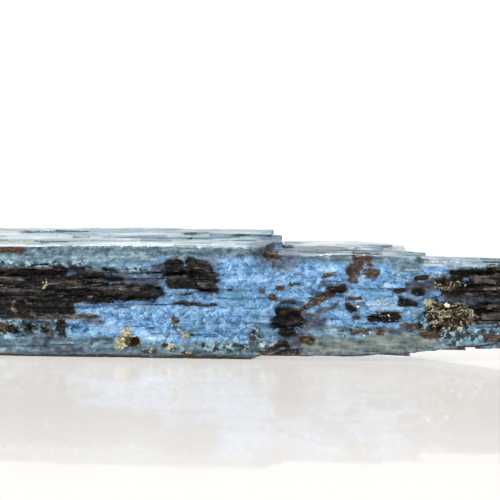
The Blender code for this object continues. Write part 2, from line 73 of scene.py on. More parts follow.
# Strokes are drawn on a face in millimetres: start x, start height, end x, end height, start and end radius.
# On the top face a distance across stands in place of the height.
FRONT_STROKES = {
    "mica": (
        # the long dark zone at the left, in three leaves
        (-36.0, 8.4, -18.6, 8.5, 0.85, 0.5), (-36.0, 6.9, -17.4, 6.9, 1.2, 1.0),
        (-36.0, 5.1, -18.4, 5.2, 1.25, 1.1),
        # the leaf that runs on towards the middle, and the thin one over it
        (-18.0, 6.4, -9.6, 6.55, 1.05, 0.85), (-17.3, 8.05, -13.0, 7.95, 0.4, 0.3),
        (-18.6, 7.6, -14.4, 7.45, 0.5, 0.25),
        # spots over them
        (-22.2, 9.0, -20.4, 8.9, 0.3, 0.28), (-17.8, 9.0, -16.6, 8.9, 0.25, 0.22),
        (-14.8, 8.9, -13.6, 8.8, 0.2, 0.2),
        # the lobed block over its end
        (-8.3, 9.4, -7.0, 9.55, 0.5, 0.45), (-5.9, 9.7, -4.7, 9.4, 0.5, 0.45),
        (-8.2, 8.6, -4.3, 8.8, 0.7, 0.9), (-9.3, 8.1, -8.0, 8.2, 0.28, 0.3),
        (-7.9, 7.7, -3.5, 7.4, 0.6, 0.7), (-7.5, 6.35, -6.0, 6.35, 0.13, 0.13),
        (-7.5, 5.55, -3.5, 5.5, 0.13, 0.12),
        # spots in the lower left
        (-19.0, 3.3, -18.8, 2.6, 0.5, 0.5), (-24.0, 2.9, -23.8, 2.7, 0.4, 0.4),
        (-22.4, 3.1, -22.2, 2.8, 0.42, 0.4), (-20.8, 2.8, -20.4, 2.7, 0.3, 0.3),
        # the block right of the middle, its foot and its slit
        (3.3, 4.05, 4.5, 4.0, 1.05, 1.0), (3.4, 2.9, 4.4, 2.8, 0.5, 0.45),
        (3.0, 1.6, 3.9, 1.6, 0.35, 0.3), (2.4, 1.0, 4.8, 1.0, 0.16, 0.16),
        (8.2, 7.2, 9.3, 7.2, 0.4, 0.44), (9.9, 5.6, 10.4, 5.2, 0.3, 0.28),
        (12.1, 4.35, 14.5, 4.4, 0.46, 0.44), (15.2, 5.95, 16.6, 5.7, 0.42, 0.3),
        (16.5, 7.1, 17.1, 7.05, 0.4, 0.36),
        # the dark zone at the right end
        (20.2, 8.8, 27.0, 8.6, 0.3, 1.25), (27.0, 8.6, 36.0, 8.5, 1.25, 1.3),
        (19.0, 8.1, 20.8, 8.2, 0.3, 0.4), (16.6, 8.5, 17.6, 8.4, 0.2, 0.2),
        (20.0, 7.2, 36.0, 7.1, 0.9, 1.3), (22.8, 4.9, 36.0, 4.8, 1.1, 1.5),
    ),
    "rust_and_edge_shade": (
        (-36.0, 10.6, -22.9, 10.65, 0.42, 0.3), (-19.2, 4.2, -15.4, 4.1, 0.3, 0.18),
        (-25.0, 3.2, -23.4, 2.3, 0.34, 0.3), (-20.3, 3.4, -20.0, 2.3, 0.24, 0.24),
        (-25.0, 3.95, -19.0, 3.95, 0.2, 0.2), (-12.1, 1.65, -11.5, 1.45, 0.6, 0.5),
        (-7.4, 3.9, -7.1, 3.8, 0.3, 0.28), (-6.0, 2.7, -5.8, 2.5, 0.25, 0.25),
        (-2.1, 7.0, -1.9, 7.0, 0.22, 0.22), (-6.4, 0.6, -5.6, 0.5, 0.25, 0.25),
        (-10.4, 0.75, -9.4, 0.65, 0.25, 0.25), (10.3, 9.0, 10.4, 8.0, 0.78, 0.42),
        (11.8, 8.75, 12.4, 8.7, 0.52, 0.5), (11.9, 10.4, 11.9, 9.6, 0.36, 0.26),
        (7.6, 8.6, 8.4, 8.65, 0.28, 0.24), (3.9, 7.6, 4.9, 7.6, 0.18, 0.16),
        (2.8, 7.2, 3.2, 7.15, 0.28, 0.26), (1.2, 6.95, 1.5, 6.9, 0.24, 0.24),
        (2.2, 6.35, 2.8, 6.2, 0.3, 0.3), (14.8, 7.0, 15.2, 7.0, 0.36, 0.34),
        (9.9, 6.3, 10.9, 6.3, 0.24, 0.22), (10.6, 4.6, 11.1, 4.2, 0.34, 0.3),
        (10.4, 3.0, 11.4, 3.0, 0.22, 0.2), (13.0, 3.0, 13.3, 3.0, 0.32, 0.3),
        (5.1, 4.95, 6.4, 5.8, 0.24, 0.42), (6.4, 5.8, 8.3, 6.9, 0.52, 0.42),
        (7.5, 7.9, 7.8, 7.3, 0.15, 0.22), (0.8, 0.65, 4.5, 0.7, 0.24, 0.28),
        (5.5, 2.1, 6.2, 2.0, 0.4, 0.36), (2.9, 4.98, 4.6, 5.05, 0.2, 0.2),
        (12.6, 4.95, 14.9, 4.9, 0.2, 0.2), (15.4, 3.7, 17.1, 3.4, 0.24, 0.24),
        (17.7, 2.95, 19.0, 2.8, 0.46, 0.4), (22.6, 3.9, 36.0, 3.7, 0.26, 0.3),
        (23.8, 2.5, 25.2, 2.4, 0.4, 0.44), (1.6, 10.55, 2.4, 10.45, 0.4, 0.38),
        # the thin dark brown line of the lower edge, a painted contact shade where the blade meets the sheet
        (-36.0, 0.08, 4.0, 0.1, 0.2, 0.2), (4.0, 0.36, 10.5, 0.42, 0.24, 0.24),
        (10.5, 0.42, 16.5, 0.72, 0.24, 0.26), (16.5, 0.72, 25.0, 1.6, 0.26, 0.3),
        (25.0, 1.6, 36.0, 3.4, 0.3, 0.35),
    ),
    "ridge_highlight": (
        # brown-grey edges of leaves in the dark zones, lighter by a painted highlight where they stand out
        (-20.6, 7.15, -17.4, 7.1, 0.42, 0.32), (-36.0, 7.75, -17.0, 7.8, 0.17, 0.16),
        (-36.0, 6.7, -21.0, 6.75, 0.2, 0.18), (-36.0, 8.9, -20.0, 8.9, 0.15, 0.15),
        (-21.6, 4.1, -17.4, 4.2, 0.17, 0.15), (-16.0, 6.9, -11.0, 6.95, 0.15, 0.14),
        (-8.8, 8.1, -6.2, 8.2, 0.14, 0.14), (-5.2, 8.9, -3.2, 8.5, 0.28, 0.28),
        (-5.2, 7.6, -3.4, 7.5, 0.25, 0.25),
        # the ring of a lump near the left end
        (-24.0, 5.2, -23.5, 5.85, 0.17, 0.17), (-23.5, 5.85, -22.7, 5.9, 0.17, 0.17),
        (-22.7, 5.9, -22.1, 5.3, 0.17, 0.17), (-22.1, 5.3, -22.3, 4.5, 0.17, 0.17),
        (-22.3, 4.5, -21.4, 4.0, 0.17, 0.15), (-24.0, 5.2, -23.7, 4.5, 0.16, 0.14),
        # the right end
        (19.8, 6.5, 36.0, 6.55, 0.2, 0.24), (22.5, 7.9, 36.0, 7.9, 0.18, 0.2),
        (24.2, 5.6, 36.0, 5.5, 0.4, 0.6), (24.4, 8.9, 36.0, 8.8, 0.34, 0.4),
        (22.0, 8.3, 36.0, 8.3, 0.2, 0.25), (23.5, 7.2, 36.0, 7.2, 0.2, 0.25),
        (23.4, 4.7, 36.0, 4.6, 0.2, 0.3), (22.5, 4.1, 36.0, 4.0, 0.34, 0.4),
    ),
    "bronze": (
        (18.9, 4.6, 20.9, 4.5, 1.55, 1.3), (18.9, 7.4, 20.6, 7.6, 0.4, 0.45),
        (21.5, 4.4, 22.4, 4.3, 0.8, 0.5),
    ),
    "cream_and_glint": (
        # the cream flake and flecks, and painted glints at a few spots
        (-11.95, 2.95, -12.95, 1.6, 0.22, 0.6), (-12.0, 2.6, -12.1, 2.3, 0.32, 0.36),
        (-11.7, 2.7, -11.2, 2.0, 0.18, 0.16), (-7.9, 1.3, -7.5, 1.5, 0.22, 0.2),
        (-6.6, 2.4, -6.3, 2.5, 0.24, 0.22), (-6.3, 0.75, -5.9, 0.65, 0.18, 0.18),
        (-10.0, 0.8, -9.7, 0.8, 0.16, 0.16), (-20.8, 6.9, -20.6, 7.5, 0.14, 0.14),
        (-18.6, 7.5, -18.4, 7.6, 0.13, 0.13), (17.9, 5.9, 18.4, 5.3, 0.3, 0.3),
    ),
    "crumbled": (
        (-36.0, 2.8, -19.2, 2.8, 1.05, 0.85), (-36.0, 9.4, -17.0, 9.25, 0.42, 0.35),
        (-17.2, 8.9, -9.8, 8.7, 0.35, 0.35), (-4.6, 1.3, -0.4, 1.3, 0.5, 0.6),
        (0.4, 2.7, 1.6, 0.9, 0.7, 0.75), (-7.4, 3.3, -6.3, 2.5, 0.5, 0.5),
        (-6.5, 0.8, -5.6, 0.6, 0.45, 0.4), (-8.2, 1.5, -7.4, 1.1, 0.35, 0.3),
        (-10.5, 0.8, -9.4, 0.7, 0.35, 0.3), (17.4, 3.1, 19.5, 2.6, 0.5, 0.5),
        (19.5, 2.45, 36.0, 2.9, 0.8, 0.9), (9.8, 3.1, 12.0, 3.0, 0.4, 0.35),
        (16.9, 8.0, 19.4, 8.3, 0.5, 0.6),
    ),
    "worn": (
        (-36.0, 1.1, -12.0, 1.1, 1.15, 0.95), (-12.0, 0.9, 0.5, 0.9, 0.8, 0.7),
        (-36.0, 10.2, -10.0, 10.2, 1.0, 0.75), (-36.0, 11.0, 1.5, 11.0, 0.55, 0.5),
        (2.0, 10.6, 16.0, 10.3, 0.4, 0.4), (-10.0, 10.5, 2.0, 10.6, 0.45, 0.4),
        (2.0, 10.2, 15.5, 10.1, 0.35, 0.4), (14.9, 9.4, 16.4, 9.3, 0.7, 0.7),
        (15.5, 9.9, 36.0, 9.6, 0.4, 0.4), (16.2, 4.9, 16.8, 4.5, 0.3, 0.35),
        (0.5, 3.3, 1.4, 1.0, 0.55, 0.75), (5.5, 3.2, 10.0, 3.2, 0.45, 0.4),
        (13.0, 2.95, 17.2, 2.95, 0.45, 0.45),
    ),
    "grey": (
        (6.6, 1.5, 16.5, 1.9, 1.1, 1.1), (16.5, 1.9, 21.0, 2.1, 0.9, 0.5),
        (2.0, 1.5, 6.0, 1.3, 0.5, 0.7),
    ),
    "pearl_sheen": (
        # pale patches with a painted pearly sheen
        (12.3, 5.8, 14.6, 5.85, 0.6, 0.6), (-16.0, 3.3, -12.8, 3.0, 0.4, 0.45),
        (-10.5, 2.4, -8.8, 2.2, 0.4, 0.35), (1.3, 0.9, 2.4, 1.55, 0.16, 0.16),
        (7.2, 9.35, 8.3, 9.2, 0.3, 0.3), (10.0, 2.72, 11.6, 2.68, 0.15, 0.15),
    ),
    "smoke_and_shade": (
        # dark grey-blue: painted shade beside the dark blocks, with mica seen through the crystal
        (3.6, 2.5, 4.6, 1.6, 0.95, 0.9), (5.2, 2.6, 6.2, 2.4, 0.5, 0.4),
        (5.3, 4.2, 6.8, 4.0, 0.85, 0.7), (3.2, 5.8, 4.4, 5.8, 0.26, 0.26),
        (-16.6, 3.65, -14.8, 3.6, 0.34, 0.26), (-13.6, 7.8, -9.4, 7.6, 0.4, 0.4),
        (-17.0, 8.6, -10.5, 8.3, 0.25, 0.25), (12.6, 3.2, 17.0, 3.2, 0.2, 0.2),
        (20.4, 6.05, 36.0, 5.95, 0.4, 0.35), (-22.0, 0.9, -17.0, 0.8, 0.25, 0.25),
        (10.9, 5.6, 11.2, 5.6, 0.26, 0.26), (16.0, 7.3, 19.0, 7.6, 0.6, 0.7),
        (7.0, 4.9, 9.0, 5.6, 0.3, 0.3), (-9.6, 9.1, -7.6, 9.8, 0.5, 0.5),
        (-6.2, 9.9, -3.8, 9.5, 0.45, 0.5), (-22.5, 2.2, -19.0, 2.1, 0.3, 0.3),
    ),
}
BACK_STROKES = {
    "mica": (
        # the leaves at the left end
        (-36.0, 8.4, -27.5, 8.2, 0.7, 0.45), (-36.0, 7.2, -24.0, 7.1, 1.0, 0.6),
        (-31.5, 5.95, -21.5, 5.8, 0.45, 0.3), (-29.0, 4.4, -17.5, 4.3, 1.0, 0.6),
        (-26.0, 3.4, -19.0, 3.3, 0.55, 0.35),
        # two thin ones high in the middle, and a block under them
        (-15.8, 8.6, -7.6, 8.5, 0.5, 0.35), (-13.2, 7.75, -4.6, 7.85, 0.55, 0.3),
        (-4.8, 3.2, -3.4, 3.1, 0.85, 0.7), (-3.4, 2.3, -1.2, 2.2, 0.45, 0.3),
        # the zone right of the middle
        (3.0, 5.7, 12.6, 5.6, 0.6, 0.45), (5.6, 4.7, 15.4, 4.75, 0.85, 0.45),
        (9.0, 3.85, 13.0, 3.8, 0.35, 0.25), (15.8, 2.7, 17.6, 2.8, 0.45, 0.3),
        # the leaves at the right end
        (17.5, 7.6, 27.0, 7.4, 0.45, 0.65), (20.0, 6.6, 36.0, 6.4, 0.7, 1.1),
        (25.5, 5.0, 36.0, 4.8, 0.85, 1.3), (28.5, 3.7, 36.0, 3.8, 0.4, 0.8),
        # spots
        (-9.6, 4.9, -9.0, 4.7, 0.3, 0.25), (0.6, 7.9, 1.6, 7.7, 0.35, 0.3),
        (-18.0, 9.3, -16.8, 9.2, 0.3, 0.25), (-20.5, 2.2, -19.9, 2.0, 0.35, 0.3),
        (18.2, 4.4, 18.9, 4.3, 0.3, 0.28),
    ),
    "rust_and_edge_shade": (
        (-17.5, 3.5, -15.0, 3.4, 0.3, 0.2), (-24.0, 6.35, -20.0, 6.3, 0.24, 0.2),
        (-11.0, 5.4, -10.2, 5.7, 0.32, 0.28), (-2.0, 7.2, 0.4, 6.5, 0.26, 0.24),
        (1.8, 9.0, 2.2, 8.8, 0.36, 0.3), (-4.6, 7.7, -3.4, 7.5, 0.24, 0.2),
        (13.0, 5.3, 16.2, 5.1, 0.24, 0.2), (14.6, 8.2, 15.2, 7.7, 0.35, 0.3),
        (19.5, 3.5, 21.0, 3.4, 0.32, 0.24), (-25.0, 9.2, -22.0, 9.3, 0.26, 0.22),
        (6.0, 2.2, 7.2, 2.1, 0.28, 0.26), (-7.4, 2.5, -7.0, 2.3, 0.28, 0.24),
        # the lower edge, a painted contact shade where the blade meets the sheet
        (-36.0, 0.1, 4.0, 0.1, 0.2, 0.2),
    ),
    "ridge_highlight": (
        (-36.0, 7.7, -26.0, 7.65, 0.16, 0.15), (-36.0, 6.7, -26.5, 6.7, 0.16, 0.15),
        (-28.0, 4.9, -18.5, 4.8, 0.17, 0.15), (-26.5, 3.9, -19.5, 3.85, 0.18, 0.15),
        (-12.5, 8.1, -6.0, 8.2, 0.15, 0.14), (4.0, 5.2, 14.0, 5.2, 0.17, 0.15),
        (7.0, 4.3, 12.6, 4.3, 0.16, 0.15), (18.0, 7.1, 36.0, 7.0, 0.17, 0.2),
        (22.0, 5.9, 36.0, 5.8, 0.18, 0.22), (27.0, 4.3, 36.0, 4.2, 0.18, 0.22),
    ),
    "bronze": (
        (-24.5, 4.2, -21.5, 4.1, 0.85, 0.6), (8.0, 4.8, 10.5, 4.8, 0.6, 0.5),
        (27.5, 5.2, 30.5, 5.0, 0.8, 0.8), (25.6, 6.7, 26.6, 6.6, 0.4, 0.35),
    ),
    "cream_and_glint": (
        (-9.0, 2.0, -8.4, 2.4, 0.26, 0.22), (12.3, 6.6, 12.8, 6.6, 0.26, 0.22),
        (23.6, 3.1, 24.2, 3.3, 0.28, 0.26), (-14.6, 6.2, -14.2, 6.3, 0.2, 0.18),
    ),
    "crumbled": (
        (-36.0, 2.2, -24.0, 2.3, 0.6, 0.45), (-20.5, 5.5, -16.0, 5.3, 0.4, 0.35),
        (-12.0, 1.2, -4.0, 1.3, 0.4, 0.5), (12.5, 3.4, 16.0, 3.3, 0.5, 0.4),
        (21.0, 2.9, 36.0, 3.6, 0.5, 0.6), (-33.0, 9.4, -26.0, 9.3, 0.4, 0.35),
    ),
    "worn": (
        (-36.0, 1.1, 12.0, 1.2, 0.9, 0.75), (-22.0, 9.9, 0.0, 10.1, 0.5, 0.5),
        (-14.0, 4.0, -11.0, 4.1, 0.3, 0.25), (1.0, 3.4, 4.6, 3.3, 0.3, 0.35),
        (16.0, 8.9, 36.0, 8.7, 0.5, 0.5),
    ),
    "grey": (
        (12.0, 1.6, 36.0, 3.0, 0.8, 0.7), (2.0, 9.6, 14.0, 9.7, 0.4, 0.4),
    ),
    "pearl_sheen": (
        (-12.0, 3.2, -9.0, 3.4, 0.35, 0.35), (0.0, 5.4, 2.2, 5.8, 0.35, 0.3),
        (15.4, 6.4, 17.0, 6.3, 0.3, 0.3),
    ),
    "smoke_and_shade": (
        (-13.0, 6.9, -6.0, 6.8, 0.35, 0.3), (-5.4, 4.2, -3.0, 4.3, 0.4, 0.4),
        (3.0, 6.5, 10.0, 6.4, 0.35, 0.3), (15.0, 7.2, 18.0, 7.3, 0.35, 0.35),
        (-22.0, 5.2, -17.0, 5.0, 0.35, 0.3),
    ),
}
TOP_STROKES = {
    "mica": (
        (28.0, -1.0, 33.0, -0.6, 0.9, 1.2),
    ),
    "rust_and_edge_shade": (
        (-7.0, 2.5, -4.6, 2.7, 0.4, 0.3), (-2.4, 2.0, -0.8, 2.2, 0.3, 0.35),
        (5.2, -1.9, 7.2, -1.8, 0.3, 0.3), (10.4, 1.2, 10.9, -3.4, 0.35, 0.6),
        (12.2, 2.3, 14.2, 2.1, 0.35, 0.25), (19.6, -2.6, 21.0, -2.4, 0.4, 0.4),
        (-22.9, 2.1, -21.6, 2.3, 0.45, 0.4), (19.2, 1.1, 21.0, 1.3, 1.15, 1.1),
    ),
    "ridge_highlight": (),
    "bronze": (
        (29.0, 1.4, 31.0, 1.5, 0.6, 0.6),
    ),
    "cream_and_glint": (
        (-29.0, -1.0, -22.0, -1.3, 0.6, 0.5), (-26.0, 2.4, -24.0, 2.5, 0.35, 0.25),
    ),
    "crumbled": (),
    "worn": (
        # the grooves between the top sheets
        (-27.5, -2.1, -11.5, -2.1, 0.45, 0.45), (-18.5, -0.4, -0.5, -0.4, 0.45, 0.45),
        (-24.0, 2.2, -20.0, 2.2, 1.3, 1.3), (-29.5, 0.9, -15.5, 0.9, 0.4, 0.4),
        (3.0, 0.4, 13.5, 0.4, 0.45, 0.45), (16.5, -0.6, 28.5, -0.6, 0.45, 0.45),
        (4.5, -1.8, 8.0, -1.8, 0.9, 0.9), (18.0, 1.2, 22.0, 1.2, 0.9, 0.9),
    ),
    "grey": (),
    "pearl_sheen": (),
    "smoke_and_shade": (
        (1.6, -2.2, 9.4, -1.2, 1.7, 1.1), (1.8, 0.9, 8.8, 0.5, 1.5, 1.1),
        (12.4, -0.2, 15.0, 0.3, 0.6, 0.4), (-15.0, 0.4, -9.0, 0.6, 0.4, 0.3),
        # the two hollows, with painted shade in them
        (-23.4, 2.2, -20.8, 2.2, 0.6, 0.6), (18.4, 1.2, 21.8, 1.2, 1.3, 1.3),
    ),
}
# Where small bright flakes glint on the front
FRONT_GLINTS = (
    (5.4, 3.6, 6.0, 3.4, 0.22, 0.2), (13.5, 6.65, 14.2, 6.65, 0.12, 0.1),
    (11.6, 5.4, 12.0, 5.0, 0.14, 0.12), (10.2, 2.85, 11.5, 2.7, 0.1, 0.1),
    (17.7, 6.0, 18.6, 5.0, 0.45, 0.45), (18.2, 4.9, 19.6, 4.3, 0.9, 0.9),
    (20.0, 3.6, 20.1, 3.6, 0.14, 0.12), (-6.8, 2.6, -6.2, 2.2, 0.22, 0.2),
    (-8.2, 1.5, -7.4, 1.0, 0.22, 0.2), (-6.6, 0.8, -5.6, 0.5, 0.2, 0.2),
    (11.9, 4.35, 14.5, 4.35, 0.3, 0.3), (12.0, 4.3, 14.4, 4.4, 0.26, 0.26),
    (7.5, 9.3, 7.9, 9.0, 0.16, 0.15), (18.9, 8.0, 21.5, 7.6, 0.4, 0.4),
    (-12.9, 1.7, -11.9, 2.7, 0.25, 0.2), (-21.0, 7.0, -20.4, 7.6, 0.25, 0.25),
    (10.6, 5.5, 13.6, 5.9, 0.25, 0.3), (12.2, 4.6, 14.9, 4.8, 0.12, 0.12),
)
# Each face: its strokes, the two axes that they are drawn on, the axis that they fade along, which way, and
# from how many millimetres
SIDES = (
    (FRONT_STROKES, (0, 2), 1, 1.0, -2.2),
    (BACK_STROKES, (0, 2), 1, -1.0, -2.2),
    (TOP_STROKES, (0, 1), 2, -1.0, -10.0),
)
FIELDS = tuple(FRONT_STROKES)
# How high the crystal's top starts, at places along it, in millimetres
TOP_PLACES = (-34.0, -28.0, 1.2, 2.4, 15.8, 17.6, 25.0, 34.0)
TOP_HEIGHTS = (9.9, 10.5, 10.5, 9.9, 9.9, 9.2, 9.1, 7.7)


# Settings

class CrystalSettings(bpy.types.PropertyGroup):
    """Sizes of the crystal's mesh, relief and flecks."""

    cell: bpy.props.FloatProperty(
        name="Mesh cell", description="Side of the finest mesh face",
        default=0.00019, min=0.0001, max=0.001, subtype="DISTANCE", unit="LENGTH", precision=5)
    step: bpy.props.FloatProperty(
        name="Cleavage step", description="Height of the steps that cleavage leaves on the faces",
        default=0.00016, min=0.0, max=0.001, subtype="DISTANCE", unit="LENGTH", precision=5)
    ledge: bpy.props.FloatProperty(
        name="Mica ledge", description="Height of the ledges between leaves of mica",
        default=0.00042, min=0.0, max=0.002, subtype="DISTANCE", unit="LENGTH", precision=5)
    grain: bpy.props.FloatProperty(
        name="Grain height", description="Height of the grain between the steps",
        default=0.00009, min=0.0, max=0.0005, subtype="DISTANCE", unit="LENGTH", precision=5)
    fleck: bpy.props.FloatProperty(
        name="Fleck size", description="Width of one fleck of the blue mosaic",
        default=0.00034, min=0.0001, max=0.002, subtype="DISTANCE", unit="LENGTH", precision=5)
    seed: bpy.props.IntProperty(
        name="Seed", description="Seed of the noise that moves the strokes of each mineral",
        default=3, min=1)


class MicaSettings(bpy.types.PropertyGroup):
    """Counts and sizes of the mica leaves."""

    dark_count: bpy.props.IntProperty(
        name="Dark leaves", description="Number of dark mica leaves", default=420, min=0, max=2000)
    bronze_count: bpy.props.IntProperty(
        name="Bronze leaves", description="Number of bronze mica leaves", default=420, min=0, max=2000)
    pale_count: bpy.props.IntProperty(
        name="Pale leaves", description="Number of pale mica leaves", default=150, min=0, max=500)
    smallest: bpy.props.FloatProperty(
        name="Smallest leaf", description="Width of the smallest leaf",
        default=0.00014, subtype="DISTANCE", unit="LENGTH", precision=5)
    largest: bpy.props.FloatProperty(
        name="Largest leaf", description="Width of the largest leaf",
        default=0.0009, subtype="DISTANCE", unit="LENGTH", precision=5)


class SplinterSettings(bpy.types.PropertyGroup):
    """Counts and sizes of the cleavage splinters."""

    count: bpy.props.IntProperty(
        name="Splinters", description="Number of thin splinters along the faces",
        default=260, min=0, max=2000)
    longest: bpy.props.FloatProperty(
        name="Longest splinter", description="Length of the longest splinter",
        default=0.007, subtype="DISTANCE", unit="LENGTH", precision=5)
    thickness: bpy.props.FloatProperty(
        name="Thickness", description="Thickness of a splinter",
        default=0.00022, subtype="DISTANCE", unit="LENGTH", precision=5)


class StageSettings(bpy.types.PropertyGroup):
    """The sheet, the light and the camera."""

    distance: bpy.props.FloatProperty(
        name="Camera distance", description="Distance from the camera to the front face",
        default=0.35, subtype="DISTANCE", unit="LENGTH")
    lens: bpy.props.FloatProperty(
        name="Focal length", description="Focal length of the lens in millimetres", default=252.0)
    elevation: bpy.props.FloatProperty(
        name="Elevation", description="Angle of the camera above the sheet",
        default=math.radians(8.0), subtype="ANGLE", unit="ROTATION")
    azimuth: bpy.props.FloatProperty(
        name="Azimuth", description="Angle of the camera towards the right end",
        default=math.radians(5.0), subtype="ANGLE", unit="ROTATION")
    world_light: bpy.props.FloatProperty(
        name="White surround", description="Strength of the white surround", default=1.0, min=0.0)
    key_light: bpy.props.FloatProperty(
        name="Key light", description="Power of the soft light over the front, in watts",
        default=1.6, min=0.0)


# Small helpers

def linear(code):
    """An sRGB hex colour such as "6e99c1" as a linear colour with alpha."""
    shares = [int(code[i:i + 2], 16) / 255 for i in (0, 2, 4)]
    return [s / 12.92 if s <= 0.04045 else ((s + 0.055) / 1.055) ** 2.4 for s in shares] + [1.0]


def add_node(tree, kind, inputs=None, output=0, stops=(), **settings):
    """Adds a node with its settings, ramp stops and inputs, and gives one of its outputs."""
    made = tree.nodes.new(kind)
    for name, value in settings.items():
        setattr(made, name, value)
    for number, (position, code) in enumerate(stops):
        ramp = made.color_ramp.elements
        stop = ramp[number] if number < 2 else ramp.new(position)
        stop.position = position
        stop.color = linear(code)
    for key, value in (inputs or {}).items():
        if isinstance(value, bpy.types.NodeSocket):
            tree.links.new(value, made.inputs[key])
        else:
            made.inputs[key].default_value = value
    return made.outputs[output] if made.outputs else made


def select_only(*objects):
    """Deselects everything and then selects these objects, the first one active."""
    bpy.ops.object.select_all(action="DESELECT")
    for obj in objects:
        obj.select_set(True)
    bpy.context.view_layer.objects.active = objects[0]


def put_on(piece, *materials):
    """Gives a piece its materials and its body."""
    piece.data.materials.clear()
    for material in materials:
        piece.data.materials.append(material)
    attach(piece, BODY)


def points_of(mesh):
    """The mesh's vertices in millimetres."""
    flat = np.empty(len(mesh.vertices) * 3, np.float64)
    mesh.vertices.foreach_get("co", flat)
    return flat.reshape(-1, 3) / MM


def set_points(mesh, points):
    """Puts the mesh's vertices at these places in millimetres."""
    mesh.vertices.foreach_set("co", (points * MM).reshape(-1))
    mesh.update()


def keep_in_box(mesh):
    """Draws in whatever stands outside the box of the plain model."""
    inside = np.clip(points_of(mesh), LOWEST / MM + BOX_GAP, HIGHEST / MM - BOX_GAP)
    inside[:, 2] = np.maximum(inside[:, 2], 0.0)
    set_points(mesh, inside)


# Where each mineral shows

FAR_OUTSIDE = -9.0  # the depth of a place that no stroke comes near
INWARD_FADE = 0.5  # how far away from a stroke a millimetre into the stone counts
THIN_RISE = 0.25  # over how many millimetres the depth in a very thin stroke would rise by one
# The noise that moves the strokes, slow and then quick: its waves a millimetre along, into and up the blade,
# where it starts, and how far it moves them each way in millimetres
SWAYS = (
    ((0.45, 0.8, 0.9), 0.0, (0.4, 0.3, 0.2)),
    ((1.1, 2.0, 2.4), 7.0, (0.25, 0.0, 0.14)),
)
TOP_RISE = 0.4  # over how many millimetres the top takes on its look
WEIGHT_STEPS = 20  # the weights that a vertex group tells apart


def stroke_depth(places, away, strokes):
    """How far inside the nearest stroke each place is, in millimetres, and below zero outside.

    In a thin stroke it rises faster, so that a frayed edge doesn't break it up.
    """
    best = np.full(len(places), FAR_OUTSIDE)
    for x0, z0, x1, z1, r0, r1 in strokes:
        start = np.array((x0, z0))
        run = np.array((x1, z1)) - start
        share = np.clip((places - start) @ run / max(run @ run, 1e-9), 0.0, 1.0)
        gap = places - start - share[:, None] * run
        reach = np.sqrt((gap ** 2).sum(axis=1) + away ** 2)
        radius = r0 + share * (r1 - r0)
        best = np.maximum(best, (radius - reach) / (THIN_RISE + (1.0 - THIN_RISE) * radius))
    return best


def wander(points):
    """The points shifted a little by slow noise, so that no stroke keeps a smooth outline."""
    noise.seed_set(bpy.context.scene.kyanite_crystal.seed)
    moved = points.copy()
    for waves, start, reach in SWAYS:
        places = points * waves + (start, 0.0, 0.0)
        moved += np.array([noise.noise_vector(place) for place in places.tolist()]) * reach
    return moved


def mineral_fields(points):
    """For each mineral, how deep inside its strokes each point is, in millimetres."""
    moved = wander(points)
    found = {}
    for field in FIELDS:
        best = np.full(len(points), FAR_OUTSIDE)
        for strokes, axes, across, way, start in SIDES:
            away = INWARD_FADE * np.maximum(way * moved[:, across] - start, 0.0)
            best = np.maximum(best, stroke_depth(moved[:, axes], away, strokes[field]))
        found[field] = best
    return found


def add_fields(mesh):
    """Writes the mineral fields to the mesh as attributes, with how far each point of the top faces up."""
    points = points_of(mesh)
    fields = mineral_fields(points)
    normals = np.empty(len(mesh.vertices) * 3, np.float32)
    mesh.vertices.foreach_get("normal", normals)
    above = points[:, 2] - np.interp(points[:, 0], TOP_PLACES, TOP_HEIGHTS)
    fields["upward"] = normals.reshape(-1, 3)[:, 2] * np.clip(above / TOP_RISE, 0.0, 1.0)
    for name, values in fields.items():
        # what the mesh says already holds
        if name in mesh.attributes:
            mesh.attributes[name].data.foreach_get("value", values)
            continue
        attribute = mesh.attributes.new(name, "FLOAT", "POINT")
        attribute.data.foreach_set("value", values.astype(np.float32))
    return fields


def add_group(obj, name, weights):
    """Adds a vertex group with these weights, in even steps."""
    group = obj.vertex_groups.new(name=name)
    steps = np.round(np.clip(weights, 0.0, 1.0) * WEIGHT_STEPS).astype(int)
    for step in range(1, WEIGHT_STEPS + 1):
        chosen = np.flatnonzero(steps == step).tolist()
        if chosen:
            group.add(chosen, step / WEIGHT_STEPS, "REPLACE")


# The crystal

SHARP_EDGE = math.radians(32.0)
BOX_GAP = 0.002  # how many millimetres it stays inside the plain model's box
FEWEST_FACES = 1000  # with fewer it has lost its shape
# Its materials: how glossy each is, and between which values its roughness lies
FINISHES = {
    "kyanite_cleaved": (0.3, (0.28, 0.55)),
    "kyanite_over_mica": (0.1, (0.28, 0.55)),
    "kyanite_top": (0.5, (0.08, 0.24)),
}
CLEAVED, OVER_MICA, TOP = range(3)
BARE_TOP = 0.45  # how much a face looks up to take the top's material
# The relief: its kind, its grain along each axis in millimetres, the setting that gives its height, how much
# of that it takes, and its zone
RELIEF = {
    "long_steps": ("cells", (9.0, 1.6, 1.3), "step", 1.0, "clean"),
    "short_steps": ("cells", (3.2, 0.8, 0.6), "step", 0.7, "clean"),
    "mica_ledges": ("cells", (4.5, 1.2, 0.55), "ledge", 1.0, "mica"),
    "mica_blocks": ("cells", (1.1, 0.8, 0.7), "ledge", 0.7, "mica"),
    "grain": ("clouds", (0.9, 0.6, 0.6), "grain", 1.0, ""),
}
RELIEF_FADE = 0.5  # over how many millimetres the mica's relief sets in
CLEAN_LOSS = 0.6  # how much of the clean relief it takes away


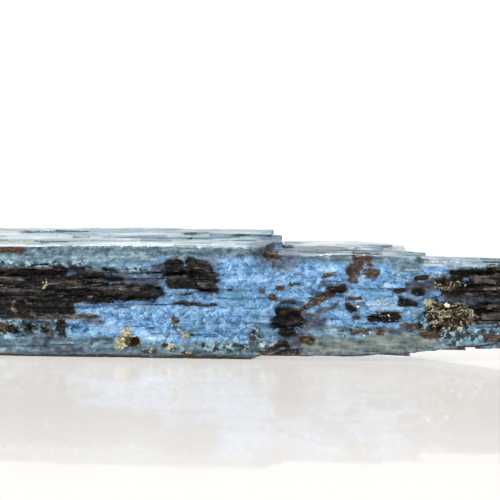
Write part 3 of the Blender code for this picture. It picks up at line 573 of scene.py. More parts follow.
def merged_copy(name):
    """A copy of the plain node's mesh with its loose triangles merged."""
    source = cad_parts[NODE]
    copy = bpy.data.objects.new(name, source.data.copy())
    copy.data.name = name
    copy.data.materials.clear()
    bpy.context.scene.collection.objects.link(copy)
    select_only(copy)
    bpy.ops.object.mode_set(mode="EDIT")
    bpy.ops.mesh.select_all(action="SELECT")
    bpy.ops.mesh.remove_doubles(threshold=1e-7)
    bpy.ops.object.mode_set(mode="OBJECT")
    return copy


def apply_modifier(obj, kind, name, **settings):
    """Adds a modifier with its settings and applies it."""
    select_only(obj)
    modifier = obj.modifiers.new(name, kind)
    for key, value in settings.items():
        setattr(modifier, key, value)
    bpy.ops.object.modifier_apply(modifier=name)


def largest_part(obj):
    """Drops the crumbs that the even cells leave beside the crystal, and gives the crystal back."""
    name = obj.name
    select_only(obj)
    bpy.ops.mesh.separate(type="LOOSE")
    parts = sorted(bpy.context.selected_objects, key=lambda part: len(part.data.polygons))
    for crumb in parts[:-1]:
        bpy.data.objects.remove(crumb)
    parts[-1].name = name
    return parts[-1]


def stretched_guide(name, sizes):
    """A guide whose scale gives a texture its grain size along each axis."""
    bpy.ops.object.select_all(action="DESELECT")
    bpy.ops.object.empty_add(type="PLAIN_AXES", location=(0.0, 0.0, 0.0))
    guide = bpy.context.object
    guide.name = name
    guide.scale = [s * MM for s in sizes]
    bpy.context.view_layer.update()
    return guide


def displace(obj, name, texture, sizes, height, group):
    """Raises and lowers the surface by a texture of this grain size, in a vertex group or all over."""
    guide = stretched_guide(name + "_guide", sizes)
    apply_modifier(
        obj, "DISPLACE", name, texture=texture, texture_coords="OBJECT", texture_coords_object=guide,
        strength=height, mid_level=0.5, vertex_group=group, direction="NORMAL")
    bpy.data.objects.remove(guide)


def flat_cells(name):
    """A texture of flat cells, each of one height, as cleavage leaves them."""
    texture = bpy.data.textures.new(name, "VORONOI")
    texture.color_mode = "POSITION"
    texture.distance_metric = "DISTANCE"
    texture.noise_scale = 1.0
    return texture


def soft_grain(name):
    """A texture of soft clouds."""
    texture = bpy.data.textures.new(name, "CLOUDS")
    texture.noise_scale = 1.0
    texture.noise_depth = 3
    texture.noise_basis = "IMPROVED_PERLIN"
    return texture


def relief(obj, settings):
    """Cuts cleavage steps, mica ledges and grain into the crystal's surface."""
    fields = mineral_fields(points_of(obj.data))
    rough = np.clip(np.maximum(fields["mica"], fields["bronze"]) / RELIEF_FADE + 0.5, 0.0, 1.0)
    add_group(obj, "mica", rough)
    add_group(obj, "clean", 1.0 - CLEAN_LOSS * rough)
    for name, (kind, sizes, setting, share, zone) in RELIEF.items():
        texture = flat_cells(name) if kind == "cells" else soft_grain(name)
        displace(obj, name, texture, sizes, share * getattr(settings, setting), zone)


def split_materials(mesh, fields):
    """Gives the dark zones the material that shines less, and the bare top the one that shines more."""
    corners = np.empty(len(mesh.loops), np.int32)
    mesh.loops.foreach_get("vertex_index", corners)
    starts = np.empty(len(mesh.polygons), np.int32)
    mesh.polygons.foreach_get("loop_start", starts)
    dark = np.maximum(np.maximum(fields["mica"], fields["bronze"]), fields["smoke_and_shade"]) > 0.0
    kind = np.where(dark, OVER_MICA, np.where(fields["upward"] > BARE_TOP, TOP, CLEAVED))
    mesh.polygons.foreach_set("material_index", kind[corners[starts]].astype(np.int32))
    mesh.update()


class KYANITE_OT_crystal(bpy.types.Operator):
    """Builds the blue crystal with its cleavage steps and dark hollows"""

    bl_idname = "kyanite.crystal"
    bl_label = "Crystal"

    def execute(self, context):
        settings = context.scene.kyanite_crystal
        crystal = merged_copy("kyanite_crystal")
        apply_modifier(crystal, "REMESH", "even_cells", mode="VOXEL", voxel_size=settings.cell)
        crystal = largest_part(crystal)
        relief(crystal, settings)
        keep_in_box(crystal.data)
        crystal.vertex_groups.clear()
        select_only(crystal)
        bpy.ops.object.shade_smooth_by_angle(angle=SHARP_EDGE)
        fields = add_fields(crystal.data)
        put_on(crystal, *(crystal_material(name, settings, *finish) for name, finish in FINISHES.items()))
        split_materials(crystal.data, fields)
        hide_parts(NODE)
        if len(crystal.data.polygons) < FEWEST_FACES:
            raise RuntimeError("the crystal lost its shape")
        return {"FINISHED"}


# Leaves of mica

OUTSIDE = 30.0  # how many millimetres from its middle the lines towards the stone start
GRAZING = -0.05  # a line that only grazes the surface, with a product above this, doesn't count
FRONTMOST = -0.3  # leaves grow on the front only where its normal's y is below this
ALIGNED = 0.9  # a face or an edge runs along an axis where their product is above this
PIECE_GAP = 0.01  # how many millimetres a leaf or a splinter stays inside the plain model's box
# One leaf: its thickness, the chamfer of its rim, the rim's lift, its unevenness and its form
LEAF_THICK, LEAF_RIM, LEAF_LIFT, LEAF_JITTER = 0.1, 0.06, 0.04, 0.09
LEAF_FORM = (1.0, 0.78, 0.55)
# A book of leaves: how far each lies over the last and beside it, and how much smaller it is
LAYER_LIFT, LAYER_SHIFT, LAYER_LOSS = 0.07, 0.06, 0.16
LEAF_SHARES = {"front": 0.6, "back": 0.32, "top": 0.08}
# The strokes that they grow in, their count, the largest one against the setting, their tilt, how far they
# are drawn out along the blade, and their seed
LEAF_KINDS = {
    "mica_dark": ("mica", "dark_count", 1.0, 0.16, 1.6, 41),
    "mica_bronze": ("bronze", "bronze_count", 1.2, 0.42, 1.1, 43),
    # pale flakes, near white, placed where the glints are: painted glints
    "mica_pale_glints": ("glint", "pale_count", 0.42, 0.5, 1.1, 47),
}


def surface_tree(obj):
    """A search tree of the crystal's surface, in metres."""
    graph = bpy.context.evaluated_depsgraph_get()
    return BVHTree.FromObject(obj, graph)


def hit_from(tree, side, along, other):
    """Where a line from outside a side first meets the crystal, with the surface's normal there, or None."""
    if side == "top":
        start, way = Vector((along, other, OUTSIDE)), Vector((0.0, 0.0, -1.0))
    elif side == "back":
        start, way = Vector((along, OUTSIDE, other)), Vector((0.0, -1.0, 0.0))
    else:
        start, way = Vector((along, -OUTSIDE, other)), Vector((0.0, 1.0, 0.0))
    place, normal, _, _ = tree.ray_cast(start * MM, way)
    if place is None or normal.dot(way) > GRAZING:
        return None
    return place, normal


def leaf_master(name, sides, seed):
    """One leaf of mica, a millimetre across: an irregular plate of a few sides with a chamfered upper rim."""
    bpy.ops.object.select_all(action="DESELECT")
    bpy.ops.mesh.primitive_cylinder_add(vertices=sides, radius=0.5 * MM, depth=LEAF_THICK * MM)
    leaf = bpy.context.object
    leaf.name = name
    bpy.ops.object.mode_set(mode="EDIT")
    bpy.ops.mesh.select_all(action="DESELECT")
    pick_faces(leaf, lambda face: face.normal.z > ALIGNED)
    bpy.ops.mesh.inset(thickness=LEAF_RIM * MM)
    bpy.ops.transform.translate(value=(0.0, 0.0, LEAF_LIFT * MM))
    bpy.ops.mesh.select_all(action="SELECT")
    bpy.ops.transform.vertex_random(offset=LEAF_JITTER * MM, uniform=0.0, normal=0.0, seed=seed)
    bpy.ops.transform.resize(value=LEAF_FORM)
    bpy.ops.object.mode_set(mode="OBJECT")
    return leaf


def pick_faces(obj, wanted):
    """In edit mode, selects the faces that are wanted."""
    shape = bmesh.from_edit_mesh(obj.data)
    shape.normal_update()
    for face in shape.faces:
        face.select_set(wanted(face))
    shape.select_flush_mode()
    bmesh.update_edit_mesh(obj.data)


def placed_copy(master, matrix, **marks):
    """A copy of the master with its own mesh put in place, and its own marks for the material."""
    mesh = master.data.copy()
    mesh.transform(matrix)
    for name, value in marks.items():
        attribute = mesh.attributes.new(name, "FLOAT", "POINT")
        attribute.data.foreach_set("value", [value] * len(mesh.vertices))
    copy = bpy.data.objects.new(master.name + "_copy", mesh)
    bpy.context.scene.collection.objects.link(copy)
    return copy


def within_box(copy):
    """True if the copy lies inside the plain model's box."""
    points = points_of(copy.data)
    return bool((points > LOWEST / MM + PIECE_GAP).all() and (points < HIGHEST / MM - PIECE_GAP).all())


def joined(copies, name):
    """All copies as one piece at the origin."""
    kept = [copy for copy in copies if within_box(copy)]
    for copy in copies:
        if copy not in kept:
            bpy.data.objects.remove(copy)
    if not kept:
        raise RuntimeError(f"nothing of {name} is left in the box")
    select_only(*kept)
    bpy.ops.object.join()
    piece = bpy.context.object
    piece.name = name
    piece.data.name = name
    return piece


def spots_in(strokes, count, dice):
    """Random places inside strokes, more of them in the larger ones."""
    sizes = [(math.dist(s[:2], s[2:4]) + 1.5 * (s[4] + s[5])) * (s[4] + s[5]) for s in strokes]
    for _ in range(count):
        x0, z0, x1, z1, r0, r1 = dice.choices(strokes, sizes)[0]
        share, angle, far = dice.random(), dice.uniform(0.0, math.tau), math.sqrt(dice.random())
        radius = (r0 + share * (r1 - r0)) * far
        x = x0 + share * (x1 - x0) + 1.3 * radius * math.cos(angle)
        yield x, z0 + share * (z1 - z0) + radius * math.sin(angle)


def leaf_matrix(place, normal, width, tilt, along, dice):
    """Where a leaf lies: near the surface's own slope, drawn out along the blade by so much."""
    lean = Vector((dice.gauss(0.0, tilt), dice.gauss(0.0, tilt), dice.gauss(0.0, tilt)))
    up = (normal + lean).normalized()
    side = (Vector((1.0, 0.0, 0.0)) - up * up.x).normalized()
    turn = Matrix((side, up.cross(side), up)).transposed().to_4x4()
    spin = Matrix.Rotation(dice.gauss(0.0, 0.25) if along > 1.2 else dice.uniform(0.0, math.tau), 4, "Z")
    longer = along * dice.uniform(0.7, 1.3)
    size = Matrix.Diagonal((width * longer, width / longer, dice.uniform(0.7, 1.4), 1.0))
    return Matrix.Translation(place) @ turn @ spin @ size


def grow_leaves(tree, name, strokes, counts, widths, tilt, along, seed):
    """Grows small books of mica inside the strokes of each side, as many as it says there."""
    dice = random.Random(seed)
    masters = [leaf_master(f"{name}_leaf_{n}", 5 + n % 3, seed + n) for n in range(4)]
    copies = []
    for side, count in counts.items():
        for x, other in spots_in(strokes[side], count, dice):
            hit = hit_from(tree, side, x, other)
            if hit is None or (side == "front" and hit[1].y > FRONTMOST):
                continue
            width = widths[0] + (widths[1] - widths[0]) * dice.random() ** 1.8
            matrix = leaf_matrix(hit[0], hit[1], width, tilt, along, dice)
            for layer in range(dice.choice((1, 1, 2, 3))):
                beside = (dice.gauss(0.0, LAYER_SHIFT), dice.gauss(0.0, LAYER_SHIFT))
                shift = Matrix.Translation(Vector((*beside, LAYER_LIFT * layer)) * MM)
                placed = matrix @ shift @ Matrix.Scale(1.0 - LAYER_LOSS * layer, 4)
                copies.append(placed_copy(dice.choice(masters), placed, tone=dice.random()))
    piece = joined(copies, name)
    for master in masters:
        bpy.data.objects.remove(master)
    return piece


class KYANITE_OT_mica(bpy.types.Operator):
    """Grows the dark, bronze and pale leaves of mica in the crystal's hollows"""

    bl_idname = "kyanite.mica"
    bl_label = "Mica leaves"

    def execute(self, context):
        settings = context.scene.kyanite_mica
        tree = surface_tree(bpy.data.objects["kyanite_crystal"])
        materials = {"mica_dark": biotite_dark, "mica_bronze": biotite_bronze, "mica_pale_glints": muscovite_glints}
        for name, (kind, count, share, tilt, along, seed) in LEAF_KINDS.items():
            # on the back and the top the pale flakes lie among the bronze ones
            other = "bronze" if kind == "glint" else kind
            strokes = {
                "front": FRONT_GLINTS if kind == "glint" else FRONT_STROKES[kind],
                "back": BACK_STROKES[other],
                "top": TOP_STROKES[other],
            }
            counts = {side: int(getattr(settings, count) * part) for side, part in LEAF_SHARES.items()}
            widths = (settings.smallest / MM, share * settings.largest / MM)
            piece = grow_leaves(tree, name, strokes, counts, widths, tilt, along, seed)
            put_on(piece, materials[name]())
        return {"FINISHED"}


# Splinters of kyanite

# Which way each face looks, its share of the splinters, and between which heights or places across they lie
SPLINTER_SIDES = {
    "front": ((0.0, -1.0, 0.0), 0.46, (0.6, 9.2)),
    "back": ((0.0, 1.0, 0.0), 0.34, (0.6, 9.0)),
    "top": ((0.0, 0.0, 1.0), 0.2, (-3.4, 3.6)),
}
SPLINTER_SEED = 53
SPLINTER_REACH = 33.0  # how many millimetres from the middle the last ones lie
SPLINTER_WIDTHS = (0.14, 0.6)
SHORTEST_SPLINTER = 1.2
LOWEST_TOP = 9.2 * MM  # no splinter of the top lies lower
LEVEL = 0.8  # nor where the surface looks up less than this
FACING = 0.85  # how much a face of the crystal looks a way to count for the mean normal there
SPLINTER_CUTS = 6
SPLINTER_TIP = (1.0, 0.35, 0.3)
SPLINTER_JITTER = 0.1


def splinter_master(name, seed):
    """One splinter, a millimetre each way before it is sized: a bar with drawn-out, uneven ends."""
    bpy.ops.object.select_all(action="DESELECT")
    bpy.ops.mesh.primitive_cube_add(size=MM)
    bar = bpy.context.object
    bar.name = name
    bpy.ops.object.mode_set(mode="EDIT")
    bpy.ops.mesh.select_all(action="DESELECT")
    pick_long_edges(bar)
    bpy.ops.mesh.subdivide(number_cuts=SPLINTER_CUTS)
    for way in (-1.0, 1.0):
        bpy.ops.mesh.select_all(action="DESELECT")
        pick_faces(bar, lambda face: face.normal.x * way > ALIGNED)
        bpy.ops.transform.resize(value=SPLINTER_TIP)
    bpy.ops.mesh.select_all(action="SELECT")
    bpy.ops.transform.vertex_random(offset=SPLINTER_JITTER * MM, uniform=0.0, normal=0.0, seed=seed)
    bpy.ops.object.mode_set(mode="OBJECT")
    return bar


def pick_long_edges(obj):
    """In edit mode, selects the edges that run lengthwise."""
    bpy.ops.mesh.select_mode(type="EDGE")
    shape = bmesh.from_edit_mesh(obj.data)
    for edge in shape.edges:
        run = edge.verts[1].co - edge.verts[0].co
        edge.select_set(abs(run.x) > ALIGNED * run.length)
    bmesh.update_edit_mesh(obj.data)


def face_normal(obj, way):
    """The mean normal of the crystal's faces that look this way."""
    total = Vector((0.0, 0.0, 0.0))
    for face in obj.data.polygons:
        if face.normal.dot(way) > FACING:
            total += face.normal * face.area
    return total.normalized()


class KYANITE_OT_splinters(bpy.types.Operator):
    """Lays thin cleavage splinters along the faces and over the top edges"""

    bl_idname = "kyanite.splinters"
    bl_label = "Cleavage splinters"

    def execute(self, context):
        settings = context.scene.kyanite_splinters
        crystal = bpy.data.objects["kyanite_crystal"]
        tree = surface_tree(crystal)
        dice = random.Random(SPLINTER_SEED)
        masters = [splinter_master(f"splinter_{n}", 60 + n) for n in range(4)]
        copies = []
        for side, (way, share, (low, high)) in SPLINTER_SIDES.items():
            outward = face_normal(crystal, Vector(way))
            for _ in range(int(settings.count * share)):
                x = dice.uniform(-SPLINTER_REACH, SPLINTER_REACH)
                hit = hit_from(tree, side, x, dice.uniform(low, high))
                if hit is None:
                    continue
                if side == "top" and (hit[1].z < LEVEL or hit[0].z < LOWEST_TOP):
                    continue
                matrix = splinter_matrix(hit[0], outward, settings, dice)
                copies.append(placed_copy(dice.choice(masters), matrix, upward=1.0 if side == "top" else 0.0))
        piece = joined(copies, "cleavage_splinters")
        for master in masters:
            bpy.data.objects.remove(master)
        fields = add_fields(piece.data)
        put_on(piece, *crystal.data.materials)
        split_materials(piece.data, fields)
        return {"FINISHED"}


def splinter_matrix(place, outward, settings, dice):
    """Where a splinter lies: along the blade, half sunk, one end a little lower than the other."""
    length = SHORTEST_SPLINTER + (settings.longest / MM - SHORTEST_SPLINTER) * dice.random() ** 1.6
    width = dice.uniform(*SPLINTER_WIDTHS)
    thick = settings.thickness / MM * dice.uniform(0.6, 1.3)
    across = outward.cross(Vector((1.0, 0.0, 0.0))).normalized()
    turn = Matrix((Vector((1.0, 0.0, 0.0)), across, outward)).transposed().to_4x4()
    lean = Euler((dice.gauss(0.0, 0.1), dice.gauss(0.0, 0.02), dice.gauss(0.0, 0.015))).to_matrix().to_4x4()
    return Matrix.Translation(place) @ turn @ lean @ Matrix.Diagonal((length, width, thick, 1.0))


# Materials

# The units that the patterns count in a metre along, into and up the blade: nearly the same every way, drawn
# out along the blade, and drawn out along and across the top
SPACES = {
    "even": (850.0, 1000.0, 1000.0),
    "long": (150.0, 1000.0, 1000.0),
    "broad": (50.0, 550.0, 1000.0),
}
# The units that each pattern counts in, its waves in one, its detail and its roughness
PATTERNS = {
    "slow": ("even", 0.32, 2.0, 0.5),
    "mottle": ("even", 1.7, 5.0, 0.62),
    "fine": ("even", 4.2, 4.0, 0.65),
    "speck": ("even", 2.6, 2.0, 0.5),
    "streak": ("long", 2.2, 4.0, 0.6),
    "sheen": ("broad", 0.9, 3.0, 0.5),
}
# The patterns that each tone adds up, with their weights
TONES = {
    "blue_tone": (("mottle", 0.55), ("cell", 0.27), ("fine", 0.2)),
    "grain_tone": (("speck", 0.5), ("fine", 0.5)),
    "teal_tone": (("streak", 0.5), ("mottle", 0.5)),
    "crumb_tone": (("cell_b", 0.6), ("mottle", 0.4)),
    "dark_tone": (("streak", 0.6), ("mottle", 0.4)),
    "top_sheen_tone": (("sheen", 0.62), ("streak", 0.26), ("fine", 0.12)),
    "crumbly": (("fine", 0.7), ("speck", 0.3)),
    "drawn": (("streak", 0.62), ("fine", 0.38)),
}
# The pattern that frays each mineral's edge, how far it does, and half the soft edge's width in millimetres
EDGES = {
    "mica": ("drawn", 2.6, 0.12),
    "rust_and_edge_shade": ("crumbly", 1.9, 0.12),
    "ridge_highlight": ("drawn", 2.2, 0.14),
    "bronze": ("crumbly", 2.6, 0.12),
    "cream_and_glint": ("crumbly", 1.7, 0.1),
    "crumbled": ("crumbly", 3.0, 0.3),
    "worn": ("drawn", 3.0, 0.5),
    "grey": ("drawn", 2.4, 0.5),
    "pearl_sheen": ("crumbly", 2.2, 0.3),
    "smoke_and_shade": ("drawn", 2.6, 0.4),
}
BLUE_STOPS = ((0.34, "3b6893"), (0.43, "5285b6"), (0.51, "6a9dcc"), (0.6, "85b5de"), (0.74, "b8d9ef"))
DEEP_STOPS = ((0.4, "25436c"), (0.6, "31566b"))
# The layers over the blue: the mask, what picks the tone, and the colours from dark to light
LAYERS = (
    # weathered crystal, teal where it is still clear and grey-green where it is not
    ("worn", "teal_tone", (
        (0.34, "1c272e"), (0.43, "374e5b"), (0.5, "526d7b"), (0.58, "708e99"), (0.7, "a9c0c5"))),
    ("grey", "teal_tone", (
        (0.34, "333b3d"), (0.43, "52605f"), (0.51, "6e7b79"), (0.6, "88968f"), (0.72, "b9c4bc"))),
    # cleavage seen from inside, pale, with a painted pearly sheen
    ("pearl_sheen", "teal_tone", ((0.36, "6590ba"), (0.48, "84aed4"), (0.58, "a4c8e3"), (0.7, "d4e8f2"))),
    # broken crystal mixed with crumbs of mica
    ("crumbled", "crumb_tone", (
        (0.22, "100e0d"), (0.33, "282423"), (0.42, "30444f"), (0.54, "4c6c7c"), (0.68, "769cae"),
        (0.88, "b0cad3"))),
    # dark grey-blue: mica seen through the crystal, and painted shade beside the dark blocks and in the top's
    # hollows
    ("smoke_and_shade", "teal_tone", ((0.36, "1d2026"), (0.46, "363d49"), (0.56, "566071"), (0.7, "8791a3"))),
    # brown iron stain, and along the lower edge a painted contact shade
    ("rust_and_edge_shade", "crumbly", ((0.38, "110b07"), (0.48, "281c12"), (0.56, "4a3723"), (0.66, "836a48"))),
    # dark mica, in leaves along the blade
    ("mica", "dark_tone", (
        (0.38, "030303"), (0.47, "090808"), (0.54, "151212"), (0.61, "2b2522"), (0.72, "5e534b"))),
    # lighter brown-grey leaf edges over it, partly a painted highlight on the ledges
    ("ridge_highlight", "dark_tone", ((0.38, "171514"), (0.47, "322e2c"), (0.55, "57514d"), (0.66, "8d867f"))),
    # bronze mica in a cluster of small leaves
    ("bronze", "cell_c", (
        (0.0, "0a0806"), (0.35, "1d1811"), (0.6, "443b2a"), (0.8, "7d7354"), (0.93, "d0c8ae"))),
    # cream mica, and at a few spots a painted glint
    ("cream_and_glint", "crumbly", ((0.36, "4e472f"), (0.45, "857c5a"), (0.53, "aca480"), (0.64, "dcd6c0"))),
    # the top face is cleaved almost smooth: pale blue-grey to warm white, in soft bands, mostly a painted
    # reflection of the white surround seen at a grazing angle
    ("top", "top_sheen_tone", (
        (0.38, "4c6a7a"), (0.46, "7b929e"), (0.52, "a5b3b9"), (0.6, "c6cccc"), (0.7, "dedcd6"))),
)
# How much each mineral covers the top's pale painted reflection where it lies bare on it
TOP_COVERS = {"mica": 1.0, "rust_and_edge_shade": 0.75, "cream_and_glint": 0.5, "bronze": 1.0, "smoke_and_shade": 0.7}
KYANITE_IOR, ACRYLIC_IOR = 1.72, 1.49


def new_material(name):
    """An empty material and its node tree."""
    material = bpy.data.materials.new(name)
    material.use_nodes = True
    material.node_tree.nodes.clear()
    return material, material.node_tree


def crystal_material(name, settings, gloss, roughness):
    """Kyanite, cleaved and broken: glassy blue flecks, pearly steps with a painted sheen, dark mica and brown
    stain, with painted shade and highlights, and a pale painted reflection on the top.
    """
    material, tree = new_material(name)
    found = crystal_patterns(tree, settings)
    masks = crystal_masks(tree, found)
    colour = crystal_colours(tree, found, masks)
    normal = crystal_normal(tree, found, masks)
    rough = add_node(
        tree, "ShaderNodeMapRange",
        {"Value": found["fine"], "From Min": 0.3, "From Max": 0.7,
         "To Min": roughness[0], "To Max": roughness[1]})
    shader = add_node(
        tree, "ShaderNodeBsdfPrincipled",
        {"Base Color": colour, "Roughness": rough, "IOR": KYANITE_IOR, "Specular IOR Level": gloss,
         "Normal": normal})
    add_node(tree, "ShaderNodeOutputMaterial", {"Surface": shader})
    return material


def crystal_patterns(tree, settings):
    """The patterns that colours, masks and facets share."""
    place = add_node(tree, "ShaderNodeTexCoord", output="Object")
    found = {}
    for name, scale in SPACES.items():
        found[name] = add_node(tree, "ShaderNodeMapping", {"Vector": place, "Scale": scale})
    for name, (space, scale, detail, roughness) in PATTERNS.items():
        found[name] = add_node(
            tree, "ShaderNodeTexNoise",
            {"Vector": found[space], "Scale": scale, "Detail": detail, "Roughness": roughness})
    bend = found["speck"].node.outputs["Color"]
    bent = add_node(
        tree, "ShaderNodeVectorMath", {0: bend, 1: (0.6, 0.6, 0.6), 2: found["even"]},
        operation="MULTIPLY_ADD")
    found["cells"] = add_node(
        tree, "ShaderNodeTexVoronoi", {"Vector": bent, "Scale": MM / settings.fleck}, output="Color")
    cell = add_node(tree, "ShaderNodeSeparateColor", {"Color": found["cells"]}).node
    found["cell"], found["cell_b"], found["cell_c"] = cell.outputs
    for name, parts in TONES.items():
        total = 0.0
        for pattern, weight in parts:
            total = add_node(
                tree, "ShaderNodeMath", {0: found[pattern], 1: weight, 2: total}, operation="MULTIPLY_ADD")
        found[name] = total
    return found


def crystal_masks(tree, found):
    """Where each mineral shows, with frayed edges: drawn out along the blade or crumbly."""
    masks = {}
    for field, (pattern, fray, soft) in EDGES.items():
        depth = add_node(tree, "ShaderNodeAttribute", output="Fac", attribute_name=field)
        # a pattern's mean is a half, so this leaves the edge where it was drawn
        moved = add_node(
            tree, "ShaderNodeMath", {0: found[pattern], 1: fray, 2: depth}, operation="MULTIPLY_ADD")
        masks[field] = add_node(
            tree, "ShaderNodeMapRange",
            {"Value": moved, "From Min": 0.5 * fray - soft, "From Max": 0.5 * fray + soft},
            interpolation_type="SMOOTHSTEP")
        # a darker rim around the mica, partly its dark-blue edge and partly painted shade
        if field == "mica":
            masks["near_mica"] = add_node(
                tree, "ShaderNodeMapRange",
                {"Value": moved, "From Min": 0.5 * fray - 0.9, "From Max": 0.5 * fray + 0.1, "To Max": 0.6})
    # where a face looks up it takes the top's pale colour, a painted reflection
    upward = add_node(tree, "ShaderNodeAttribute", output="Fac", attribute_name="upward")
    masks["top"] = add_node(
        tree, "ShaderNodeMapRange", {"Value": upward, "From Min": 0.4, "From Max": 0.75},
        interpolation_type="SMOOTHSTEP")
    for field, share in TOP_COVERS.items():
        cover = add_node(
            tree, "ShaderNodeMath", {0: masks[field], 1: -share, 2: 1.0}, operation="MULTIPLY_ADD")
        masks["top"] = add_node(tree, "ShaderNodeMath", {0: masks["top"], 1: cover}, operation="MULTIPLY")
    return masks


def crystal_colours(tree, found, masks):
    """The colours from the blue mosaic up, each mineral over the last, with painted shade, highlights and the
    top's painted reflection among them.
    """
    # The clear blue: small flecks of slightly different blues, some pale, with darker grains between them
    colour = add_node(tree, "ShaderNodeValToRGB", {"Fac": found["blue_tone"]}, stops=BLUE_STOPS)
    grains = add_node(
        tree, "ShaderNodeMapRange",
        {"Value": found["grain_tone"], "From Min": 0.475, "From Max": 0.39, "To Max": 0.85})
    deep = add_node(tree, "ShaderNodeValToRGB", {"Fac": found["slow"]}, stops=DEEP_STOPS)
    patches = add_node(
        tree, "ShaderNodeMapRange",
        {"Value": found["slow"], "From Min": 0.5, "From Max": 0.68, "To Max": 0.45})
    # a little greener in patches, deeper in the grains, and darker slate where mica is near: its dark-blue
    # edge and a painted shade around it
    covers = [(patches, linear("4f8aa6")), (grains, deep), (masks["near_mica"], linear("222b42"))]
    for mask, tone, stops in LAYERS:
        covers.append((masks[mask], add_node(tree, "ShaderNodeValToRGB", {"Fac": found[tone]}, stops=stops)))
    for mask, cover in covers:
        colour = add_node(
            tree, "ShaderNodeMix", {"Factor": mask, "A": colour, "B": cover}, "Result", data_type="RGBA")
    return colour


def crystal_normal(tree, found, masks):
    """Each fleck reflects its own way, and fine bumps break the gloss."""
    dull = add_node(tree, "ShaderNodeMath", {0: masks["bronze"], 1: masks["mica"]}, operation="MAXIMUM")
    smooth = add_node(tree, "ShaderNodeMath", {0: masks["grey"], 1: masks["top"]}, operation="MAXIMUM")
    tilt = add_node(tree, "ShaderNodeMapRange", {"Value": dull, "To Min": 0.5, "To Max": 0.7})
    tilt = add_node(tree, "ShaderNodeMath", {0: smooth, 1: -0.38, 2: tilt}, operation="MULTIPLY_ADD")
    off = add_node(
        tree, "ShaderNodeVectorMath", {0: found["cells"], 1: (0.5, 0.5, 0.5)}, operation="SUBTRACT")
    off = add_node(tree, "ShaderNodeVectorMath", {0: off, "Scale": tilt}, operation="SCALE")
    facing = add_node(tree, "ShaderNodeNewGeometry", output="Normal")
    turned = add_node(tree, "ShaderNodeVectorMath", {0: facing, 1: off}, operation="ADD")
    turned = add_node(tree, "ShaderNodeVectorMath", {0: turned}, operation="NORMALIZE")
    height = add_node(
        tree, "ShaderNodeMath", {0: found["speck"], 1: 1.2, 2: found["drawn"]}, operation="MULTIPLY_ADD")
    strength = add_node(tree, "ShaderNodeMapRange", {"Value": smooth, "To Min": 0.8, "To Max": 0.25})
    return add_node(
        tree, "ShaderNodeBump",
        {"Strength": strength, "Distance": 0.16 * MM, "Height": height, "Normal": turned})


def mica_material(name, stops, roughness, metallic, specular):
    """Mica split along its leaves: each leaf has its own tone, thin stains and a pearly glint."""
    material, tree = new_material(name)
    place = add_node(tree, "ShaderNodeTexCoord", output="Object")
    even = add_node(tree, "ShaderNodeMapping", {"Vector": place, "Scale": (1.0 / MM, 1.0 / MM, 1.0 / MM)})
    tone = add_node(tree, "ShaderNodeAttribute", output="Fac", attribute_name="tone")
    stain = add_node(tree, "ShaderNodeTexNoise", {"Vector": even, "Scale": 4.5, "Detail": 4.0})
    tone = add_node(tree, "ShaderNodeMath", {0: tone, 1: 0.65}, operation="MULTIPLY")
    tone = add_node(tree, "ShaderNodeMath", {0: stain, 1: 0.45, 2: tone}, operation="MULTIPLY_ADD")
    colour = add_node(tree, "ShaderNodeValToRGB", {"Fac": tone}, stops=stops)
    dull = add_node(
        tree, "ShaderNodeMapRange",
        {"Value": stain, "From Min": 0.35, "From Max": 0.65, "To Min": roughness[0], "To Max": roughness[1]})
    bump = add_node(tree, "ShaderNodeBump", {"Strength": 0.5, "Distance": 0.06 * MM, "Height": stain})
    shader = add_node(
        tree, "ShaderNodeBsdfPrincipled",
        {"Base Color": colour, "Roughness": dull, "Metallic": metallic, "Specular IOR Level": specular,
         "Normal": bump})
    add_node(tree, "ShaderNodeOutputMaterial", {"Surface": shader})
    return material


def biotite_dark():
    """Biotite, split along its leaves: black-brown, shining only where a leaf faces the light."""
    stops = ((0.15, "070606"), (0.5, "131010"), (0.75, "27211d"), (0.95, "544840"))
    return mica_material("biotite_dark", stops, (0.3, 0.55), 0.0, 0.3)


def biotite_bronze():
    """Weathered biotite: black, olive and bronze leaves, a few of them cream and bright as foil."""
    stops = (
        (0.15, "0d0b08"), (0.37, "2a2318"), (0.55, "574b36"), (0.71, "8f8464"), (0.84, "c9c2a8"),
        (0.97, "f4f0e4"))
    return mica_material("biotite_bronze", stops, (0.2, 0.45), 0.15, 0.6)


def muscovite_glints():
    """Muscovite: small silvery flakes with a pearly shine, coloured near white as painted glints."""
    stops = ((0.15, "8f8c80"), (0.5, "c6c4ba"), (0.8, "f1f0ea"))
    return mica_material("muscovite_glints", stops, (0.15, 0.35), 0.1, 0.7)


# The stage

SHEET_SIDE = 6.0
KEY_PLACE, KEY_TARGET, KEY_SIDE = Vector((-0.14, -0.26, 0.34)), Vector((0.0, 0.0, 0.005)), 0.1
CAMERA_TARGET = Vector((0.0, -0.0035, 0.01098))
SENSOR_WIDTH = 36.0


def stage_material():
    """Glossy white acrylic, lit a little from below: bright, faintly warm, with a soft low reflection."""
    material, tree = new_material("acrylic_sheet_white")
    shader = add_node(
        tree, "ShaderNodeBsdfPrincipled",
        {"Base Color": linear("6e6a67"), "Roughness": 0.25, "IOR": ACRYLIC_IOR, "Specular IOR Level": 0.3,
         "Emission Color": linear("fffaf4"), "Emission Strength": 0.66,
         "Coat Weight": 0.42, "Coat Roughness": 0.03, "Coat IOR": ACRYLIC_IOR})
    add_node(tree, "ShaderNodeOutputMaterial", {"Surface": shader})
    return material


def add_key_light(power):
    """Adds the soft square light over the front."""
    bpy.ops.object.light_add(type="AREA", location=KEY_PLACE)
    light = bpy.context.object
    light.name = "key_light"
    light.data.size = KEY_SIDE
    light.data.energy = power
    light.rotation_euler = (KEY_TARGET - KEY_PLACE).to_track_quat("-Z", "Y").to_euler()


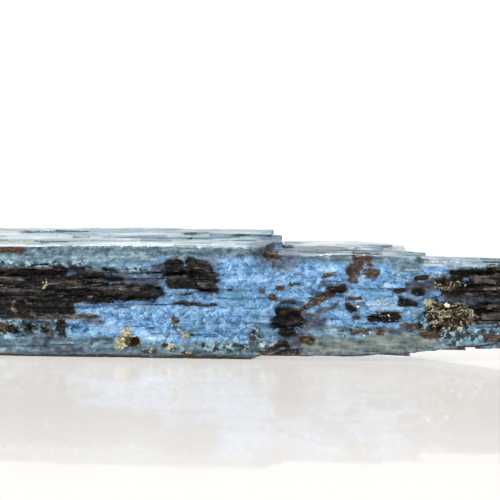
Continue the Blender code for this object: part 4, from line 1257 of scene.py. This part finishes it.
def surround_nodes(tree, settings):
    """White all round but for the dim room behind the camera."""
    tree.nodes.clear()
    place = add_node(tree, "ShaderNodeTexCoord", output="Generated")
    parts = add_node(tree, "ShaderNodeSeparateXYZ", {"Vector": place}).node.outputs
    level = add_node(
        tree, "ShaderNodeMath", {0: parts["Z"], 1: 1.2, 2: parts["Y"]}, operation="MULTIPLY_ADD")
    shade = add_node(
        tree, "ShaderNodeMapRange", {"Value": level, "From Min": -0.75, "From Max": 0.1},
        interpolation_type="SMOOTHSTEP")
    stops = ((0.0, "6a6a6c"), (1.0, "ffffff"))
    colour = add_node(tree, "ShaderNodeValToRGB", {"Fac": shade}, stops=stops)
    light = add_node(tree, "ShaderNodeBackground", {"Color": colour, "Strength": settings.world_light})
    add_node(tree, "ShaderNodeOutputWorld", {"Surface": light})


class KYANITE_OT_stage(bpy.types.Operator):
    """Adds the white sheet, the soft light and the camera"""

    bl_idname = "kyanite.stage"
    bl_label = "Stage"

    def execute(self, context):
        settings = context.scene.kyanite_stage
        bpy.ops.object.select_all(action="DESELECT")
        bpy.ops.mesh.primitive_plane_add(size=SHEET_SIDE, location=(0.0, 0.0, 0.0))
        sheet = context.object
        sheet.name = "white_sheet"
        sheet.data.materials.append(stage_material())
        world = bpy.data.worlds.new("white_surround")
        world.use_nodes = True
        surround_nodes(world.node_tree, settings)
        context.scene.world = world
        context.scene.view_settings.view_transform = "Standard"
        add_key_light(settings.key_light)
        add_camera(context, settings)
        return {"FINISHED"}


def add_camera(context, settings):
    """Puts the camera low in front, a little towards the right end."""
    up, turn = settings.elevation, settings.azimuth
    way = Vector((math.sin(turn) * math.cos(up), -math.cos(turn) * math.cos(up), math.sin(up)))
    bpy.ops.object.camera_add(location=CAMERA_TARGET + way * settings.distance)
    camera = context.object
    camera.name = "camera"
    camera.rotation_euler = (-way).to_track_quat("-Z", "Y").to_euler()
    camera.data.lens = settings.lens
    camera.data.sensor_width = SENSOR_WIDTH
    camera.data.clip_start = 0.01
    camera.data.clip_end = 20.0
    context.scene.camera = camera


class KYANITE_PT_panel(bpy.types.Panel):
    """Lists the settings and the steps"""

    bl_label = "Kyanite blade"
    bl_space_type = "VIEW_3D"
    bl_region_type = "UI"
    bl_category = "Kyanite"

    def draw(self, context):
        steps = (
            ("kyanite_crystal", "kyanite.crystal"),
            ("kyanite_splinters", "kyanite.splinters"),
            ("kyanite_mica", "kyanite.mica"),
            ("kyanite_stage", "kyanite.stage"),
        )
        for group, step in steps:
            box = self.layout.box()
            settings = getattr(context.scene, group)
            for name in settings.__annotations__:
                box.prop(settings, name)
            box.operator(step)


GROUPS = {
    "kyanite_crystal": CrystalSettings,
    "kyanite_mica": MicaSettings,
    "kyanite_splinters": SplinterSettings,
    "kyanite_stage": StageSettings,
}
CLASSES = (
    *GROUPS.values(),
    KYANITE_OT_crystal,
    KYANITE_OT_splinters,
    KYANITE_OT_mica,
    KYANITE_OT_stage,
    KYANITE_PT_panel,
)


def register():
    """Makes the settings, the steps and the panel known to Blender."""
    for made in CLASSES:
        bpy.utils.register_class(made)
    for name, group in GROUPS.items():
        setattr(bpy.types.Scene, name, bpy.props.PointerProperty(type=group))


def unregister():
    """Takes them away again."""
    for name in GROUPS:
        delattr(bpy.types.Scene, name)
    for made in reversed(CLASSES):
        bpy.utils.unregister_class(made)


def main():
    """Builds the piece and its stage."""
    register()
    bpy.ops.kyanite.crystal()
    bpy.ops.kyanite.splinters()
    bpy.ops.kyanite.mica()
    bpy.ops.kyanite.stage()


if __name__ == "__main__":
    main()
